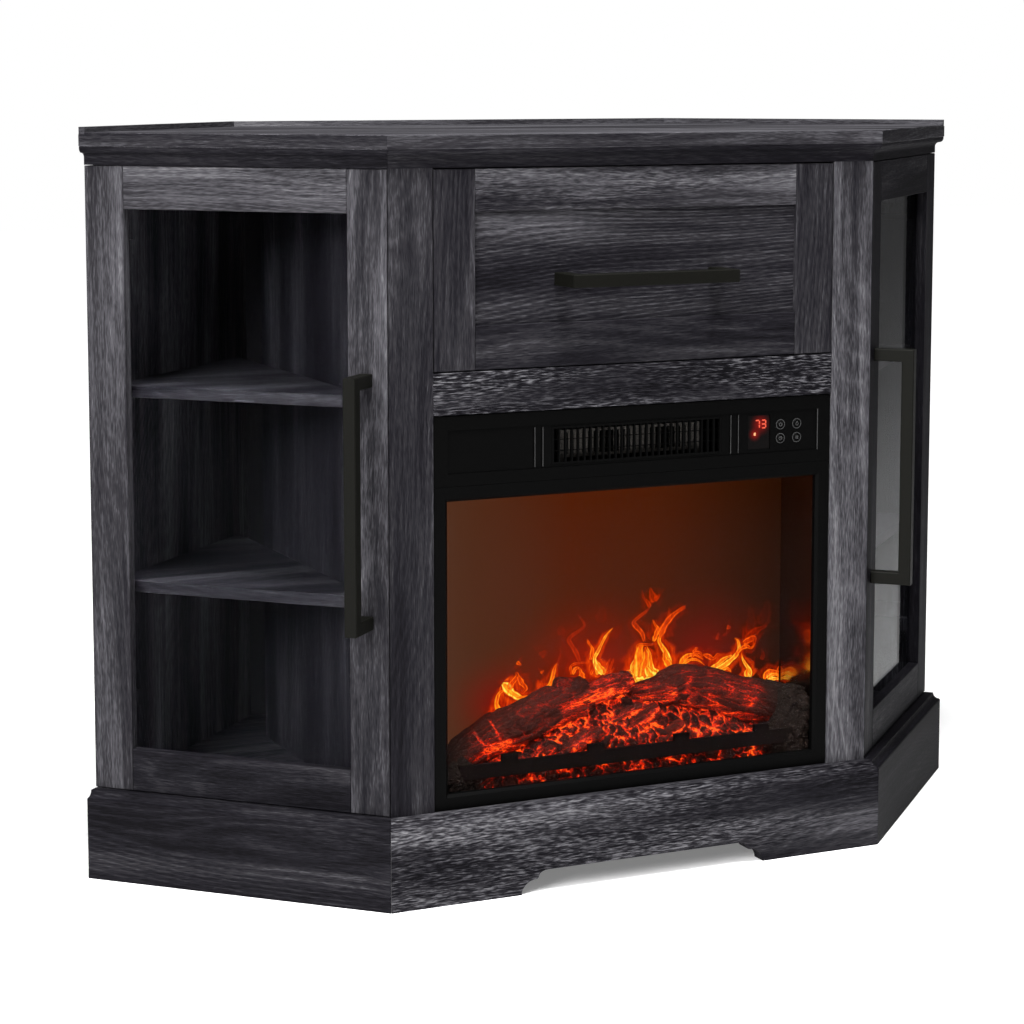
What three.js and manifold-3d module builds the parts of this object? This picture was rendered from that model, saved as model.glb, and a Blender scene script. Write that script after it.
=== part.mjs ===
// A corner television stand with an electric fire in its middle bay, a drawer over the fire,
// and a glazed corner cupboard with two shelves on each side.
// Millimetres, +Z up, the front faces -Y. The origin is the middle of the footprint, on the floor.
import * as THREE from "three";
import { mergeVertices } from "three/addons/utils/BufferGeometryUtils.js";
import Module from "manifold-3d";

const wasm = await Module();
wasm.setup();

// Driving sizes of the cabinet: its plan has a front, two sides at 45 degrees and a matching rear.
const sideAngle = Math.PI / 4;
const frontWidth = 585;
const doorSideLength = 352;
const rearSideLength = 352;
const topFaceHeight = 815;

// Boards and running clearances.
const topBoardThickness = 15;
const carcassBoard = 15;
const sidePanelThickness = 15;
const shelfThickness = 13;
const backPanelThickness = 5;
const edgeEase = 0.7;
const jointGap = 0.3;
const openingGap = 1.5;
const cutOverrun = 5;

// Top board, its raised rear lip and the moulding under it.
const topOverhang = 11.2;
const lipHeight = 6;
const lipThickness = 7;
const lipSeat = 2;
const crownFillet = 1.8;
const crownOgeeHeight = 10;
const crownOgeeReach = 10.4;
const friezeHeight = 7.8;
const crownRailThickness = 15;

// Plinth: a skirt with a coved top, and bracket feet cut into its front board.
const plinthProjection = 19.5;
const plinthHeight = 97.3;
const plinthLedge = 10.5;
const plinthCove = 7;
const plinthFootReach = 149.5;
const plinthFirstCurveWidth = 19;
const plinthFirstCurveHeight = 16;
const plinthCurveStep = 1.5;
const plinthSecondCurveWidth = 11;
const plinthSecondCurveHeight = 8;

// Front posts, the rail under the drawer and the deck behind it.
const postWidth = 50;
const postReturnThickness = 15;
const postReturnDepth = 30;
const partitionInnerX = 280;
const partitionRearY = 385;
const midRailShare = 0.64;
const midRailHeight = 45;
const deckRise = 6.5;

// Glazed doors.
const doorThickness = 18;
const doorMemberWidth = 46;
const doorGlassSetback = 12;
const doorGlassThickness = 3;
const doorGlassLap = 5.5;
const doorFootGap = 1;
const doorHeadGap = 0.8;
const carcassBehindDoorGap = 1.5;

// Cupboard shelves, by where their upper faces lie in the height inside.
const lowerShelfShare = 0.327;
const upperShelfShare = 0.632;
const shelfSetback = 25;

// Concealed hinges.
const hingeBoreRadius = 17.5;
const hingeBoreDepth = 10;
const hingeCupInset = 22;
const hingeInset = 90;
const hingeFlangeWidth = 24;
const hingeFlangeHeight = 64;
const hingeFlangeThickness = 1.1;
const hingeArmHeight = 16;
const hingeArmThickness = 7;
const hingeArmReach = 62;
const hingeArmTipDepth = 6;
const hingePlateHeight = 52;
const hingePlateThickness = 4;
const hingePlateDepth = 34;

// Square-bar pull handles.
const pullBar = 14;
const pullProjection = 46;
const pullEase = 0.9;
const doorPullLength = 270;
const doorPullInset = 25;
const doorPullDrop = 5.8;
const drawerPullLength = 200;
const drawerPullDrop = 13.2;

// Drawer.
const drawerFrontThickness = 18;
const drawerStileWidth = 47;
const drawerTopRailWidth = 45;
const drawerBottomRailWidth = 46.5;
const drawerPanelRecess = 5;
const drawerPanelThickness = 6;
const drawerPanelLap = 8;
const drawerBoxInset = 5;
const drawerBoxLength = 350;
const drawerBoxHeadroom = 43;
const drawerBoxRise = 18;
const drawerWall = 12;
const drawerBottomThickness = 5;
const drawerBottomRise = 6;
const runnerHeight = 30;
const runnerTongueHeight = 10;
const runnerTongueReach = 5.5;
const runnerRise = 20;
const runnerGap = 0.5;
const runnerSetback = 50;

// Electric fire: its outer front, measured inside the middle bay.
const fireSideGap = 1.2;
const fireTopGap = 1.2;
const fireFaceRecess = 1.5;
const fireFaceDepth = 8.5;
const fireHousingSideGap = 6;
const fireHousingDepth = 150;
const fireHousingWall = 1.5;
const fireDividerDrop = 5.5;
const fireWindowSide = 16;
const fireWindowTop = 16;
const fireWindowBottom = 16.5;
const fireWindowBevel = 3;
const fireGlassThickness = 3;
const fireGlassLap = 6;

// Control panel of the fire.
const controlPanelHeight = 74.8;
const panelFieldSide = 16.3;
const panelFieldTop = 15;
const panelFieldBottom = 13.5;
const panelFieldDepth = 1.4;
const grilleHalfWidth = 104;
const grilleBorder = 3;
const grilleBarCount = 26;
const grilleBarWidth = 1.8;
const grilleDepth = 4;
const grilleTopMargin = 2;
const grilleWireThickness = 1;
const ribWidth = 1.3;
const ribProud = 1.2;
const ribMargin = 2.5;
const ribOffsets = [11, 20.5];
const displayCentreX = 151.5;
const displayWidth = 28;
const displayMargin = 4.2;
const displaySink = 1.2;
const displayThickness = 2.5;
const buttonColumnX = 188.6;
const buttonPitchX = 21;
const buttonPitchZ = 15.5;
const buttonRadius = 4.4;
const buttonClearance = 0.35;
const buttonProud = 1.2;
const buttonLength = 8;
const buttonRingWidth = 1.1;
const buttonRingProud = 0.6;
const buttonSides = 20;

// Heater and blower behind the grille.
const heaterHalfWidth = 86;
const heaterHeight = 24;
const heaterSetback = 12;
const heaterFrameThickness = 3;
const heaterFrameDepth = 10;
const heaterCoilCount = 24;
const heaterCoilWidth = 3.4;
const heaterCoilDepth = 5;
const blowerRadius = 25;
const blowerHalfLength = 95;
const blowerDepth = 88;
const blowerBladeCount = 16;
const blowerBladeWidth = 9;
const blowerBladeThickness = 1.2;
const blowerDiscThickness = 2;
const blowerBladeLeanTurnShare = 0.11;
const spindleShaftRadius = 3;
const shaftClearance = 0.4;
const bearingRadius = 9;
const bearingLength = 12;
const motorRadius = 17;
const motorLength = 26;

// Flame effect: a lit screen, a turning spindle of mirror blades, and a moulded bed of logs.
const screenDepth = 82;
const screenThickness = 2.5;
const spindleDepth = 112;
const spindleHeight = 40;
const spindleHalfLength = 190;
const mirrorBladeCount = 14;
const mirrorBladeLength = 20;
const mirrorBladeWidth = 26;
const mirrorBladeThickness = 0.8;
const mirrorBladeTurn = 1.15;
const bedFrontGap = 7;
const bedDepth = 68;
const bedSideGap = 6;
const bedBaseThickness = 10;
const bedRise = 0.3;
const bedEmberHeight = 62;
const bedEmberHalfWidth = 150;
const grateHeight = 25;
const grateBarHeight = 15;
const grateBarDepth = 5;
const grateHalfLength = 184;
const grateStudWidth = 18;
const grateStudRise = 8;
const grateStudOffsets = [-147, -43, 64, 166];
const grateLegWidth = 6;

// Rear services: a vent row in the fire's housing, its cord bush, and a hole in the cabinet back.
const ventCount = 9;
const ventWidth = 4;
const ventHeight = 34;
const ventPitch = 16;
const cordBushRadius = 9;
const cordBushLength = 8;
const cordBushX = 190;
const cordBushHeight = 60;
const cordHoleWidth = 160;
const cordHoleHeight = 90;
const cordHoleX = 150;
const cordHoleRise = 30;

// Places worked out from the sizes above.
const cosSide = Math.cos(sideAngle);
const sinSide = Math.sin(sideAngle);
const frontHalf = frontWidth / 2;
const outerX = frontHalf + doorSideLength * cosSide;
const outerY = doorSideLength * sinSide;
const rearHalf = outerX - rearSideLength * cosSide;
const rearY = outerY + rearSideLength * sinSide;
const boardBottom = topFaceHeight - topBoardThickness;
const friezeBottom = boardBottom - crownFillet - crownOgeeHeight - friezeHeight;
const floorTop = plinthHeight - jointGap;
const floorBottom = floorTop - carcassBoard;
const partitionOuterX = partitionInnerX + carcassBoard;
const postInnerX = frontHalf - postWidth;
const midRailBottom = topFaceHeight * midRailShare;
const midRailTop = midRailBottom + midRailHeight;
const deckBottom = midRailBottom + deckRise;
const doorBottom = plinthHeight + doorFootGap;
const doorTop = friezeBottom - doorHeadGap;
const drawerBottom = midRailTop + openingGap;
const drawerTop = friezeBottom - openingGap;
const drawerHalf = postInnerX - openingGap;
const drawerBoxHalfWidth = drawerHalf - drawerBoxInset;
const drawerBoxBottom = drawerBottom + drawerBoxRise;
const drawerBoxTop = drawerTop - drawerBoxHeadroom;
const fireHalf = postInnerX - fireSideGap;
const fireBottom = floorTop + jointGap;
const fireTop = midRailBottom - fireTopGap;
const fireSplitHeight = fireTop - controlPanelHeight;
const fireDividerHeight = fireSplitHeight - fireDividerDrop;
const fireBackY = fireFaceRecess + fireFaceDepth;
const housingHalf = fireHalf - fireHousingSideGap;
const frontMost = pullProjection - drawerPanelRecess;

const sideInsetFor = (depth) => depth / cosSide;

// Finishes.
const finish = (color, roughness, metalness) =>
  new THREE.MeshStandardMaterial({ color, roughness, metalness });
const laminate = finish(0x3a3a40, 0.62, 0);
const laminateDark = finish(0x303035, 0.66, 0);
const backBoard = finish(0x2a2a2d, 0.75, 0);
const blackMetal = finish(0x1b1b18, 0.45, 0.6);
const blackSatin = finish(0x121212, 0.4, 0.2);
const sheetSteel = finish(0x3b3c3e, 0.4, 0.8);
const mirrorSteel = finish(0xc9c9c9, 0.15, 1);
const heatingWire = finish(0xb8b8b4, 0.35, 0.9);
const smokedScreen = finish(0x4a1d0a, 0.5, 0);
const logResin = finish(0x3a2018, 0.85, 0);
const displayLens = finish(0x2a0505, 0.2, 0);
const clearGlass = new THREE.MeshStandardMaterial({
  color: 0xcfd6d8,
  roughness: 0.05,
  metalness: 0,
  transparent: true,
  opacity: 0.3,
});

// Solids: a geometry becomes a manifold body to be cut or joined, and comes back as a geometry.
function bodyOf(geometry) {
  const plain = geometry.clone();
  plain.deleteAttribute("normal");
  plain.deleteAttribute("uv");
  const merged = mergeVertices(plain, jointGap / 1000);
  return new wasm.Manifold(
    new wasm.Mesh({
      numProp: 3,
      vertProperties: merged.attributes.position.array,
      triVerts: new Uint32Array(merged.index.array),
    }),
  );
}

function geometryOf(body) {
  const mesh = body.getMesh();
  const geometry = new THREE.BufferGeometry();
  geometry.setAttribute("position", new THREE.BufferAttribute(mesh.vertProperties, mesh.numProp));
  geometry.setIndex(new THREE.BufferAttribute(mesh.triVerts, 1));
  return geometry;
}

const cut = (geometry, ...tools) =>
  geometryOf(tools.reduce((body, tool) => body.subtract(bodyOf(tool)), bodyOf(geometry)));
const join = (...geometries) => geometryOf(geometries.map(bodyOf).reduce((a, b) => a.add(b)));

const rect = (u0, u1, v0, v1) => [[u0, v0], [u1, v0], [u1, v1], [u0, v1]];
const flip = (points) => points.map(([x, y]) => [-x, y]);
const toShape = (points) => new THREE.Shape(points.map(([u, v]) => new THREE.Vector2(u, v)));

// A slab: an outline carried along one axis, with its two faces' edges eased.
// The outline is (x, y) for axis z, (x, z) for axis y and (y, z) for axis x.
function slab(axis, outline, from, to, ease = 0) {
  const geometry = new THREE.ExtrudeGeometry(toShape(outline), {
    depth: to - from - 2 * ease,
    bevelEnabled: ease > 0,
    bevelThickness: ease,
    bevelSize: ease,
    bevelOffset: -ease,
    bevelSegments: 1,
    curveSegments: 8,
  });
  geometry.translate(0, 0, ease);
  if (axis === "z") geometry.translate(0, 0, from);
  if (axis === "y") geometry.rotateX(Math.PI / 2).translate(0, to, 0);
  if (axis === "x") {
    const turn = new THREE.Matrix4().makeBasis(
      new THREE.Vector3(0, 1, 0),
      new THREE.Vector3(0, 0, 1),
      new THREE.Vector3(1, 0, 0),
    );
    geometry.applyMatrix4(turn).translate(from, 0, 0);
  }
  return geometry;
}

const block = (x0, x1, y0, y1, z0, z1, ease = 0) =>
  slab("z", rect(x0, x1, y0, y1), z0, z1, ease);

// A round bar along one axis, from one place to another.
function bar(axis, radius, centre, from, to, sides = 24) {
  const geometry = new THREE.CylinderGeometry(radius, radius, to - from, sides);
  const middle = (from + to) / 2;
  if (axis === "x") geometry.rotateZ(Math.PI / 2).translate(middle, centre[0], centre[1]);
  if (axis === "y") geometry.translate(centre[0], middle, centre[1]);
  return geometry;
}

function piece(parent, name, geometry, material) {
  const mesh = new THREE.Mesh(geometry, material);
  mesh.name = name;
  parent.add(mesh);
  return mesh;
}

// The cabinet's plan, anticlockwise from the front left corner.
const planCorners = [
  [-frontHalf, 0],
  [frontHalf, 0],
  [outerX, outerY],
  [rearHalf, rearY],
  [-rearHalf, rearY],
  [-outerX, outerY],
];

// The plan with its front faces moved out by one distance and its rear faces by another.
function planOffset(front, rear) {
  const reach = [front, front, rear, rear, rear, front];
  const lines = planCorners.map(([x, y], i) => {
    const [nextX, nextY] = planCorners[(i + 1) % planCorners.length];
    const length = Math.hypot(nextX - x, nextY - y);
    const normal = [(nextY - y) / length, (x - nextX) / length];
    return { normal, distance: normal[0] * x + normal[1] * y + reach[i] };
  });
  return lines.map((line, i) => {
    const last = lines[(i + lines.length - 1) % lines.length];
    const det = last.normal[0] * line.normal[1] - last.normal[1] * line.normal[0];
    return [
      (last.distance * line.normal[1] - line.distance * last.normal[1]) / det,
      (last.normal[0] * line.distance - line.normal[0] * last.distance) / det,
    ];
  });
}

// A moulding run: a section of (projection, height) swept along one front face,
// with its ends sheared to half of the turn that the next run takes.
function mouldingRun(section, start, end, startTurn, endTurn) {
  const [dx, dy] = [end[0] - start[0], end[1] - start[1]];
  const length = Math.hypot(dx, dy);
  const geometry = new THREE.ExtrudeGeometry(toShape(section), { depth: length, bevelEnabled: false });
  const place = geometry.attributes.position;
  const startPull = (turn) => (turn ? jointGap / 2 : 0);
  for (let i = 0; i < place.count; i++) {
    const reach = place.getX(i);
    const atStart = place.getZ(i) > length / 2;
    const shift = atStart
      ? reach * Math.tan(startTurn / 2) - startPull(startTurn)
      : startPull(endTurn) - reach * Math.tan(endTurn / 2);
    place.setZ(i, place.getZ(i) + shift);
  }
  const along = new THREE.Vector3(dx / length, dy / length, 0);
  const outward = new THREE.Vector3(along.y, -along.x, 0);
  const frame = new THREE.Matrix4().makeBasis(outward, new THREE.Vector3(0, 0, 1), along.negate());
  frame.setPosition(end[0], end[1], 0);
  return geometry.applyMatrix4(frame);
}

// Points of a quarter curve between two corners; bulge is the corner that the curve leans to.
function quarter(from, to, bulge, steps = 5) {
  const points = [];
  for (let i = 0; i <= steps; i++) {
    const angle = (Math.PI / 2) * (i / steps);
    const [a, b] = [1 - Math.sin(angle), 1 - Math.cos(angle)];
    points.push([
      bulge[0] + (from[0] - bulge[0]) * a + (to[0] - bulge[0]) * b,
      bulge[1] + (from[1] - bulge[1]) * a + (to[1] - bulge[1]) * b,
    ]);
  }
  return points;
}

const [frontLeft, frontRight, outerRight, , , outerLeft] = planCorners;
const runs = {
  left: [outerLeft, frontLeft, 0, sideAngle],
  front: [frontLeft, frontRight, sideAngle, sideAngle],
  right: [frontRight, outerRight, sideAngle, 0],
};

// Top board, rear lip and crown moulding.
function addTop(parent) {
  const band = (front, rear, depth) => {
    const outer = planOffset(front, rear);
    const inner = planOffset(front, -depth);
    return [outer[2], outer[3], outer[4], outer[5], inner[5], inner[4], inner[3], inner[2]];
  };
  const seat = topFaceHeight - lipSeat;
  const board = slab("z", planOffset(topOverhang, 0), boardBottom, topFaceHeight, edgeEase);
  const rebate = band(topOverhang + cutOverrun, cutOverrun, lipThickness + jointGap);
  piece(parent, "top_panel", cut(board, slab("z", rebate, seat, topFaceHeight + cutOverrun)), laminate);
  const lip = band(topOverhang - edgeEase, 0, lipThickness);
  piece(parent, "top_rear_lip", slab("z", lip, seat, topFaceHeight + lipHeight), laminate);

  const filletBottom = boardBottom - crownFillet;
  const friezeTop = friezeBottom + friezeHeight;
  const middle = [crownOgeeReach / 2, friezeTop + crownOgeeHeight / 2];
  const section = [
    [-crownRailThickness, friezeBottom],
    [0, friezeBottom],
    ...quarter([0, friezeTop], middle, [0, middle[1]]),
    ...quarter(middle, [crownOgeeReach, filletBottom], [crownOgeeReach, middle[1]]).slice(1),
    [crownOgeeReach, boardBottom],
    [-crownRailThickness, boardBottom],
  ];
  for (const [place, run] of Object.entries(runs))
    piece(parent, "crown_" + place, mouldingRun(section, ...run), laminate);
}

// Plinth skirt: a flat ledge, a cove and an eased face, with bracket feet on the front run.
function addPlinth(parent) {
  const coveOuter = plinthLedge + plinthCove;
  const coveBottom = plinthHeight - plinthCove;
  const faceTop = coveBottom - (plinthProjection - coveOuter);
  const section = [
    [jointGap, 0],
    [plinthProjection, 0],
    [plinthProjection, faceTop],
    ...quarter(
      [plinthProjection, faceTop],
      [coveOuter, coveBottom],
      [plinthProjection, coveBottom],
      2,
    ).slice(1),
    ...quarter([coveOuter, coveBottom], [plinthLedge, plinthHeight], [plinthLedge, coveBottom]).slice(1),
    [jointGap, plinthHeight],
  ];
  const archTop = plinthFirstCurveHeight + plinthCurveStep + plinthSecondCurveHeight - plinthCurveStep / 2;
  const firstEnd = [plinthFootReach - plinthFirstCurveWidth, plinthFirstCurveHeight];
  const secondStart = [firstEnd[0] - plinthCurveStep, plinthFirstCurveHeight + plinthCurveStep];
  const secondEnd = [secondStart[0] - plinthSecondCurveWidth, archTop];
  const rightFoot = [
    [plinthFootReach, -cutOverrun],
    ...quarter([plinthFootReach, 0], firstEnd, [plinthFootReach, plinthFirstCurveHeight], 7),
    ...quarter(secondStart, secondEnd, [secondStart[0], archTop]),
  ];
  const arch = slab(
    "y",
    [...rightFoot, ...flip(rightFoot).reverse()],
    -plinthProjection - cutOverrun,
    cutOverrun,
  );
  for (const [place, run] of Object.entries(runs)) {
    const skirt = mouldingRun(section, ...run);
    piece(parent, "plinth_" + place, place === "front" ? cut(skirt, arch) : skirt, laminate);
  }
}

// One corner cupboard of fixed boards, drawn on the right; the left one is its mirror.
function addCupboard(parent, side) {
  const mirror = side === "left" ? flip : (points) => points;
  const board = (name, outline, from, to, material, ease = edgeEase) =>
    piece(parent, name, slab("z", mirror(outline), from, to, ease), material);

  // Post: a front board with a bevelled edge for the door, and a return that takes the partition.
  const returnOuter = partitionInnerX - jointGap;
  board(
    "post_" + side,
    [
      [postInnerX, 0],
      [frontHalf, 0],
      [returnOuter, frontHalf - returnOuter],
      [returnOuter, carcassBoard + postReturnDepth],
      [returnOuter - postReturnThickness, carcassBoard + postReturnDepth],
      [returnOuter - postReturnThickness, carcassBoard],
      [postInnerX, carcassBoard],
    ],
    floorTop,
    friezeBottom,
    laminate,
    0,
  );

  // Partition: stops short of the rear wall, which leaves a gap for cables.
  const behindDoor = sideInsetFor(doorThickness + carcassBehindDoorGap) - frontHalf;
  const partitionFront = Math.max(carcassBoard + jointGap, partitionInnerX + behindDoor);
  board(
    "partition_" + side,
    [
      [partitionInnerX, partitionFront],
      [partitionOuterX, partitionOuterX + behindDoor],
      [partitionOuterX, partitionRearY],
      [partitionInnerX, partitionRearY],
    ],
    floorTop,
    boardBottom,
    laminateDark,
    0,
  );

  // Side panel along the rear diagonal: it reaches forward under and over the door that it carries.
  const rearFace = rearY - backPanelThickness - jointGap;
  const onPanel = (inset, along) => [
    outerX - inset * cosSide - along * sinSide,
    outerY - inset * sinSide + along * cosSide,
  ];
  const rearPoint = (inset) => onPanel(inset, (rearFace - outerY + inset * sinSide) / cosSide);
  const stretch = (start, low, high) => {
    const front = [onPanel(sidePanelThickness, start), onPanel(0, start)];
    const rear = [rearPoint(0), rearPoint(sidePanelThickness)];
    return slab("z", mirror([...front, ...rear]), low, high);
  };
  const panel = join(
    stretch(doorThickness + carcassBehindDoorGap, 0, boardBottom),
    stretch(jointGap, 0, floorTop),
    stretch(crownRailThickness + jointGap, friezeBottom, boardBottom),
    ...hingeArms(side),
  );
  piece(parent, "side_panel_" + side, panel, laminateDark);

  // Shelves: corner boards whose front edge lies behind the door.
  const shelfInner = partitionOuterX + jointGap;
  const shelfLine = sideInsetFor(shelfSetback) - frontHalf;
  const panelSum = outerX + outerY - sideInsetFor(sidePanelThickness + jointGap);
  const shelf = [
    [shelfInner, shelfInner + shelfLine],
    [(panelSum - shelfLine) / 2, (panelSum + shelfLine) / 2],
    [shelfInner, panelSum - shelfInner],
  ];
  for (const [level, share] of Object.entries({ lower: lowerShelfShare, upper: upperShelfShare })) {
    const height = floorTop + share * (boardBottom - floorTop);
    board("shelf_" + side + "_" + level, shelf, height - shelfThickness, height, laminate);
  }
}

const hingeHeights = [doorBottom + hingeInset, doorTop - hingeInset];

// The door's own frame: x runs from the front post to the outer corner, y runs into the cabinet.
function doorFrameMatrix(side) {
  const frame = new THREE.Matrix4().makeRotationZ(sideAngle).setPosition(frontHalf, 0, 0);
  return side === "left" ? new THREE.Matrix4().makeScale(-1, 1, 1).multiply(frame) : frame;
}

// Mirroring turns the faces round, so a mirrored geometry has its triangles reversed.
function placed(geometry, matrix) {
  const result = (geometry.index ? geometry.toNonIndexed() : geometry).clone().applyMatrix4(matrix);
  if (matrix.determinant() > 0) return result;
  const place = result.attributes.position;
  const swapped = place.array.slice();
  for (let i = 0; i < place.count; i += 3)
    for (let k = 0; k < 3; k++) {
      swapped[(i + 1) * 3 + k] = place.array[(i + 2) * 3 + k];
      swapped[(i + 2) * 3 + k] = place.array[(i + 1) * 3 + k];
    }
  return new THREE.BufferGeometry().setAttribute("position", new THREE.BufferAttribute(swapped, 3));
}

// Hinge arms: a plate on the side panel and an arm whose tip lies in the door's hinge cup.
function hingeArms(side) {
  const face = doorSideLength - sidePanelThickness;
  const cupCentre = doorSideLength - hingeCupInset;
  const plateStart = doorThickness + carcassBehindDoorGap + hingePlateDepth / 3;
  const armEnd = cupCentre - hingeArmThickness;
  return hingeHeights.map((height) => {
    const plate = block(
      face - hingePlateThickness,
      face + jointGap,
      plateStart,
      plateStart + hingePlateDepth,
      height - hingePlateHeight / 2,
      height + hingePlateHeight / 2,
    );
    const armSide = [
      [armEnd, doorThickness - hingeArmTipDepth],
      [cupCentre, doorThickness - hingeArmTipDepth],
      [cupCentre, doorThickness + carcassBehindDoorGap],
      [face + jointGap, plateStart],
      [face + jointGap, hingeArmReach],
      [face - hingeArmThickness - hingePlateThickness, hingeArmReach],
      [armEnd, doorThickness + hingeArmThickness],
    ];
    const arm = slab("z", armSide, height - hingeArmHeight / 2, height + hingeArmHeight / 2);
    return placed(join(plate, arm), doorFrameMatrix(side));
  });
}

// A glazed door: two stiles, two rails, a pane in a rebate at the back, and a pull.
function addDoor(parent, side) {
  const inner = openingGap;
  const outer = doorSideLength;
  const railStart = inner + doorMemberWidth - openingGap;
  const railEnd = outer - doorMemberWidth;
  const glassFrom = railStart - doorGlassLap;
  const glassTo = railEnd + doorGlassLap;
  const glassLow = doorBottom + doorMemberWidth - doorGlassLap;
  const glassHigh = doorTop - doorMemberWidth + doorGlassLap;
  const rebate = block(
    glassFrom - jointGap,
    glassTo + jointGap,
    doorGlassSetback,
    doorThickness + cutOverrun,
    glassLow - jointGap,
    glassHigh + jointGap,
  );
  const member = (x0, x1, z0, z1) => slab("y", rect(x0, x1, z0, z1), 0, doorThickness, edgeEase);
  const add = (name, geometry, material) =>
    piece(parent, "door_" + side + "_" + name, placed(geometry, doorFrameMatrix(side)), material);

  add("inner_stile", cut(member(inner, railStart, doorBottom, doorTop), rebate), laminate);
  const cupCentre = doorSideLength - hingeCupInset;
  const cups = hingeHeights.map((height) => ({
    flange: block(
      cupCentre - hingeFlangeWidth / 2,
      cupCentre + hingeFlangeWidth / 2,
      doorThickness - hingeFlangeThickness,
      doorThickness + hingeFlangeThickness,
      height - hingeFlangeHeight / 2,
      height + hingeFlangeHeight / 2,
    ),
    bore: bar(
      "y",
      hingeBoreRadius,
      [cupCentre, height],
      doorThickness - hingeBoreDepth,
      doorThickness + cutOverrun,
    ),
  }));
  const stile = join(member(railEnd, outer, doorBottom, doorTop), ...cups.map((cup) => cup.flange));
  add("outer_stile", cut(stile, rebate, ...cups.map((cup) => cup.bore)), laminate);

  const rail = (low, high) => cut(member(railStart + jointGap, railEnd - jointGap, low, high), rebate);
  add("top_rail", rail(doorTop - doorMemberWidth, doorTop), laminate);
  add("bottom_rail", rail(doorBottom, doorBottom + doorMemberWidth), laminate);

  const paneFront = doorGlassSetback + jointGap;
  const pane = slab(
    "y",
    rect(glassFrom, glassTo, glassLow, glassHigh),
    paneFront,
    paneFront + doorGlassThickness,
  );
  add("glass", pane, clearGlass);

  const half = doorPullLength / 2;
  const pullCentre = (doorBottom + doorTop) / 2 - doorPullDrop;
  const pull = pullOutline(pullCentre - half, pullCentre + half, -jointGap);
  const reach = [doorPullInset - pullBar / 2, doorPullInset + pullBar / 2];
  add("handle", slab("x", pull.map(([along, depth]) => [depth, along]), ...reach, pullEase), blackMetal);
}

// A pull's outline: (place along its length, depth), a bar on two legs that stand on the face.
function pullOutline(low, high, face) {
  const front = face - pullProjection;
  return [
    [low, face],
    [low, front],
    [high, front],
    [high, face],
    [high - pullBar, face],
    [high - pullBar, front + pullBar],
    [low + pullBar, front + pullBar],
    [low + pullBar, face],
  ];
}

// Boards of the middle bay, the floor and the back.
function addMiddle(parent) {
  const floorFront = planOffset(-jointGap, 0);
  const insetSum = outerX + outerY - sideInsetFor(sidePanelThickness + jointGap);
  const backFace = rearY - backPanelThickness - jointGap;
  const doorLine = sideInsetFor(jointGap) - frontHalf;
  const rightHalf = [
    floorFront[1],
    [(insetSum - doorLine) / 2, (insetSum + doorLine) / 2],
    [insetSum - backFace, backFace],
  ];
  const floor = [...rightHalf, ...flip(rightHalf).reverse()];
  piece(parent, "bottom_panel", slab("z", floor, floorBottom, floorTop), laminateDark);

  const rail = slab(
    "y",
    rect(jointGap - postInnerX, postInnerX - jointGap, midRailBottom, midRailTop),
    0,
    carcassBoard,
    edgeEase,
  );
  piece(parent, "mid_rail", rail, laminate);

  const notchX = partitionInnerX - postReturnThickness - 2 * jointGap;
  const notchY = carcassBoard + postReturnDepth + jointGap;
  const deckHalf = [
    [notchX, carcassBoard],
    [notchX, notchY],
    [partitionInnerX, notchY],
    [partitionInnerX, partitionRearY],
  ];
  const deck = [...deckHalf, ...flip(deckHalf).reverse()];
  piece(parent, "drawer_deck", slab("z", deck, deckBottom, deckBottom + carcassBoard), laminateDark);

  const backOutline = [
    [-rearHalf - backPanelThickness, rearY - backPanelThickness],
    [rearHalf + backPanelThickness, rearY - backPanelThickness],
    [rearHalf, rearY],
    [-rearHalf, rearY],
  ];
  const hole = block(
    cordHoleX - cordHoleWidth / 2,
    cordHoleX + cordHoleWidth / 2,
    rearY - backPanelThickness - cutOverrun,
    rearY + cutOverrun,
    floorTop + cordHoleRise,
    floorTop + cordHoleRise + cordHoleHeight,
  );
  piece(parent, "back_panel", cut(slab("z", backOutline, 0, boardBottom), hole), backBoard);
}

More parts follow.
